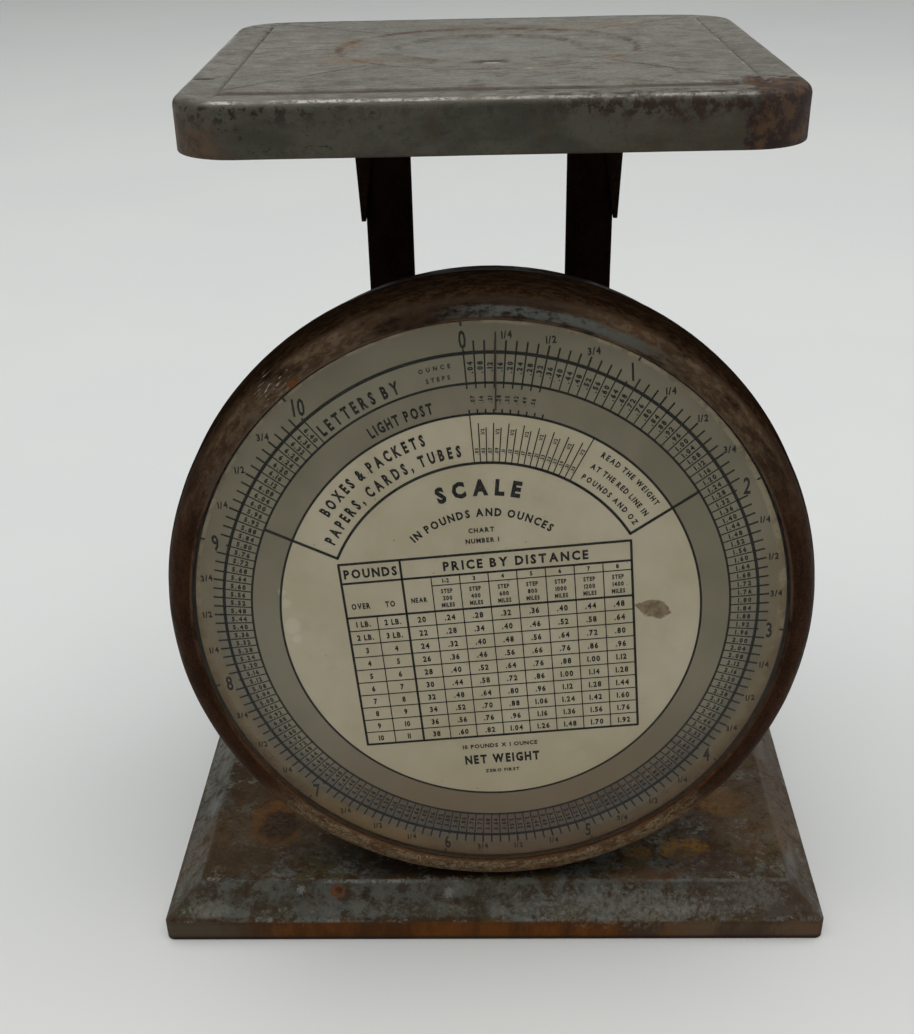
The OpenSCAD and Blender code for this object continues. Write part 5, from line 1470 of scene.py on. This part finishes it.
area("softbox_top", (0.02, 0.02, 2.5), (0.0, -0.02, 0.0), 3.4, 52.0, (1.0, 0.992, 0.968), 3.0)
area("softbox_right", (1.6, 0.35, 1.0), (0.0, 0.0, 0.1), 0.9, 3.0, (0.95, 0.98, 1.0))
area("softbox_left", (-1.5, 0.1, 1.2), (0.0, 0.0, 0.1), 0.9, 1.5, (0.95, 0.98, 1.0))

world = bpy.data.worlds.new("studio")
scene.world = world
world.use_nodes = True
wt = world.node_tree
wt.nodes.clear()
wo = wt.nodes.new("ShaderNodeOutputWorld")
wb = wt.nodes.new("ShaderNodeBackground")
tc = wt.nodes.new("ShaderNodeTexCoord")
sx = wt.nodes.new("ShaderNodeSeparateXYZ")
wt.links.new(tc.outputs["Generated"], sx.inputs[0])


def wmath(op, a, b):
    n = wt.nodes.new("ShaderNodeMath")
    n.operation = op
    for s, v in zip(n.inputs, (a, b)):
        if isinstance(v, (int, float)):
            s.default_value = v
        else:
            wt.links.new(v, s)
    return n.outputs[0]


# bright overhead and behind, dim from the camera's side
up = wmath("MAXIMUM", sx.outputs[2], 0.0)
back = wmath("ADD", wmath("MULTIPLY", sx.outputs[1], 0.5), 0.5)
val = wmath("ADD", wmath("MULTIPLY", up, 0.30), wmath("MULTIPLY", wmath("MULTIPLY", back, back), 0.16))
val = wmath("ADD", val, 0.13)
rgb = wt.nodes.new("ShaderNodeMix")
rgb.data_type = "RGBA"
rgb.inputs["Factor"].default_value = 1.0
rgb.blend_type = "MULTIPLY"
rc_ = [s for s in rgb.inputs if s.type == "RGBA"]
rc_[0].default_value = (0.985, 0.995, 1.0, 1)
wt.links.new(val, rc_[1])
wt.links.new([s for s in rgb.outputs if s.type == "RGBA"][0], wb.inputs["Color"])
wb.inputs["Strength"].default_value = 1.0
wt.links.new(wb.outputs[0], wo.inputs["Surface"])

# camera: the picture is a crop of a wider view, hence the shift
F_PX, PXC, PYC = 1446.79, 469.075, 836.585
IW, IH = 914.0, 1034.0
th, ya, ro = math.radians(35.936), math.radians(-1.695), math.radians(1.23)
fwd = Vector((math.sin(ya) * math.cos(th), math.cos(ya) * math.cos(th), -math.sin(th)))
rgt = Vector((math.cos(ya), -math.sin(ya), 0))
dwn = fwd.cross(rgt)
cr_ = rgt * math.cos(ro) + dwn * math.sin(ro)
cd_ = -rgt * math.sin(ro) + dwn * math.cos(ro)
cam = bpy.data.cameras.new("camera")
cam.sensor_fit = "AUTO"
cam.sensor_width = 36.0
cam.lens = 36.0 * F_PX / max(IW, IH)
cam.clip_start = 0.01
cam.clip_end = 30
cob = bpy.data.objects.new("camera", cam)
scene.collection.objects.link(cob)
loc = Vector((3.452, -445.853, 288.78)) * MM
rot = Matrix((cr_, -cd_, -fwd)).transposed()
cob.matrix_world = Matrix.Translation(loc) @ rot.to_4x4()
scene.camera = cob
SHX, SHY = (IW / 2 - PXC) / max(IW, IH), (PYC - IH / 2) / max(IW, IH)


def shift_driver(path, value):
    d = cam.driver_add(path).driver
    d.type = "SCRIPTED"
    for nm, tt in (("a", "LOC_X"), ("b", "LOC_Y"), ("c", "LOC_Z")):
        v = d.variables.new()
        v.name = nm
        v.type = "TRANSFORMS"
        v.targets[0].id = cob
        v.targets[0].transform_type = tt
        v.targets[0].transform_space = "WORLD_SPACE"
    d.expression = "%.6f if abs(a-%.5f)+abs(b-%.5f)+abs(c-%.5f)<0.001 else 0.0" % (value, loc.x, loc.y, loc.z)


cam.shift_x, cam.shift_y = SHX, SHY
shift_driver("shift_x", SHX)
shift_driver("shift_y", SHY)
scene.view_settings.view_transform = "Standard"

bpy.context.view_layer.update()
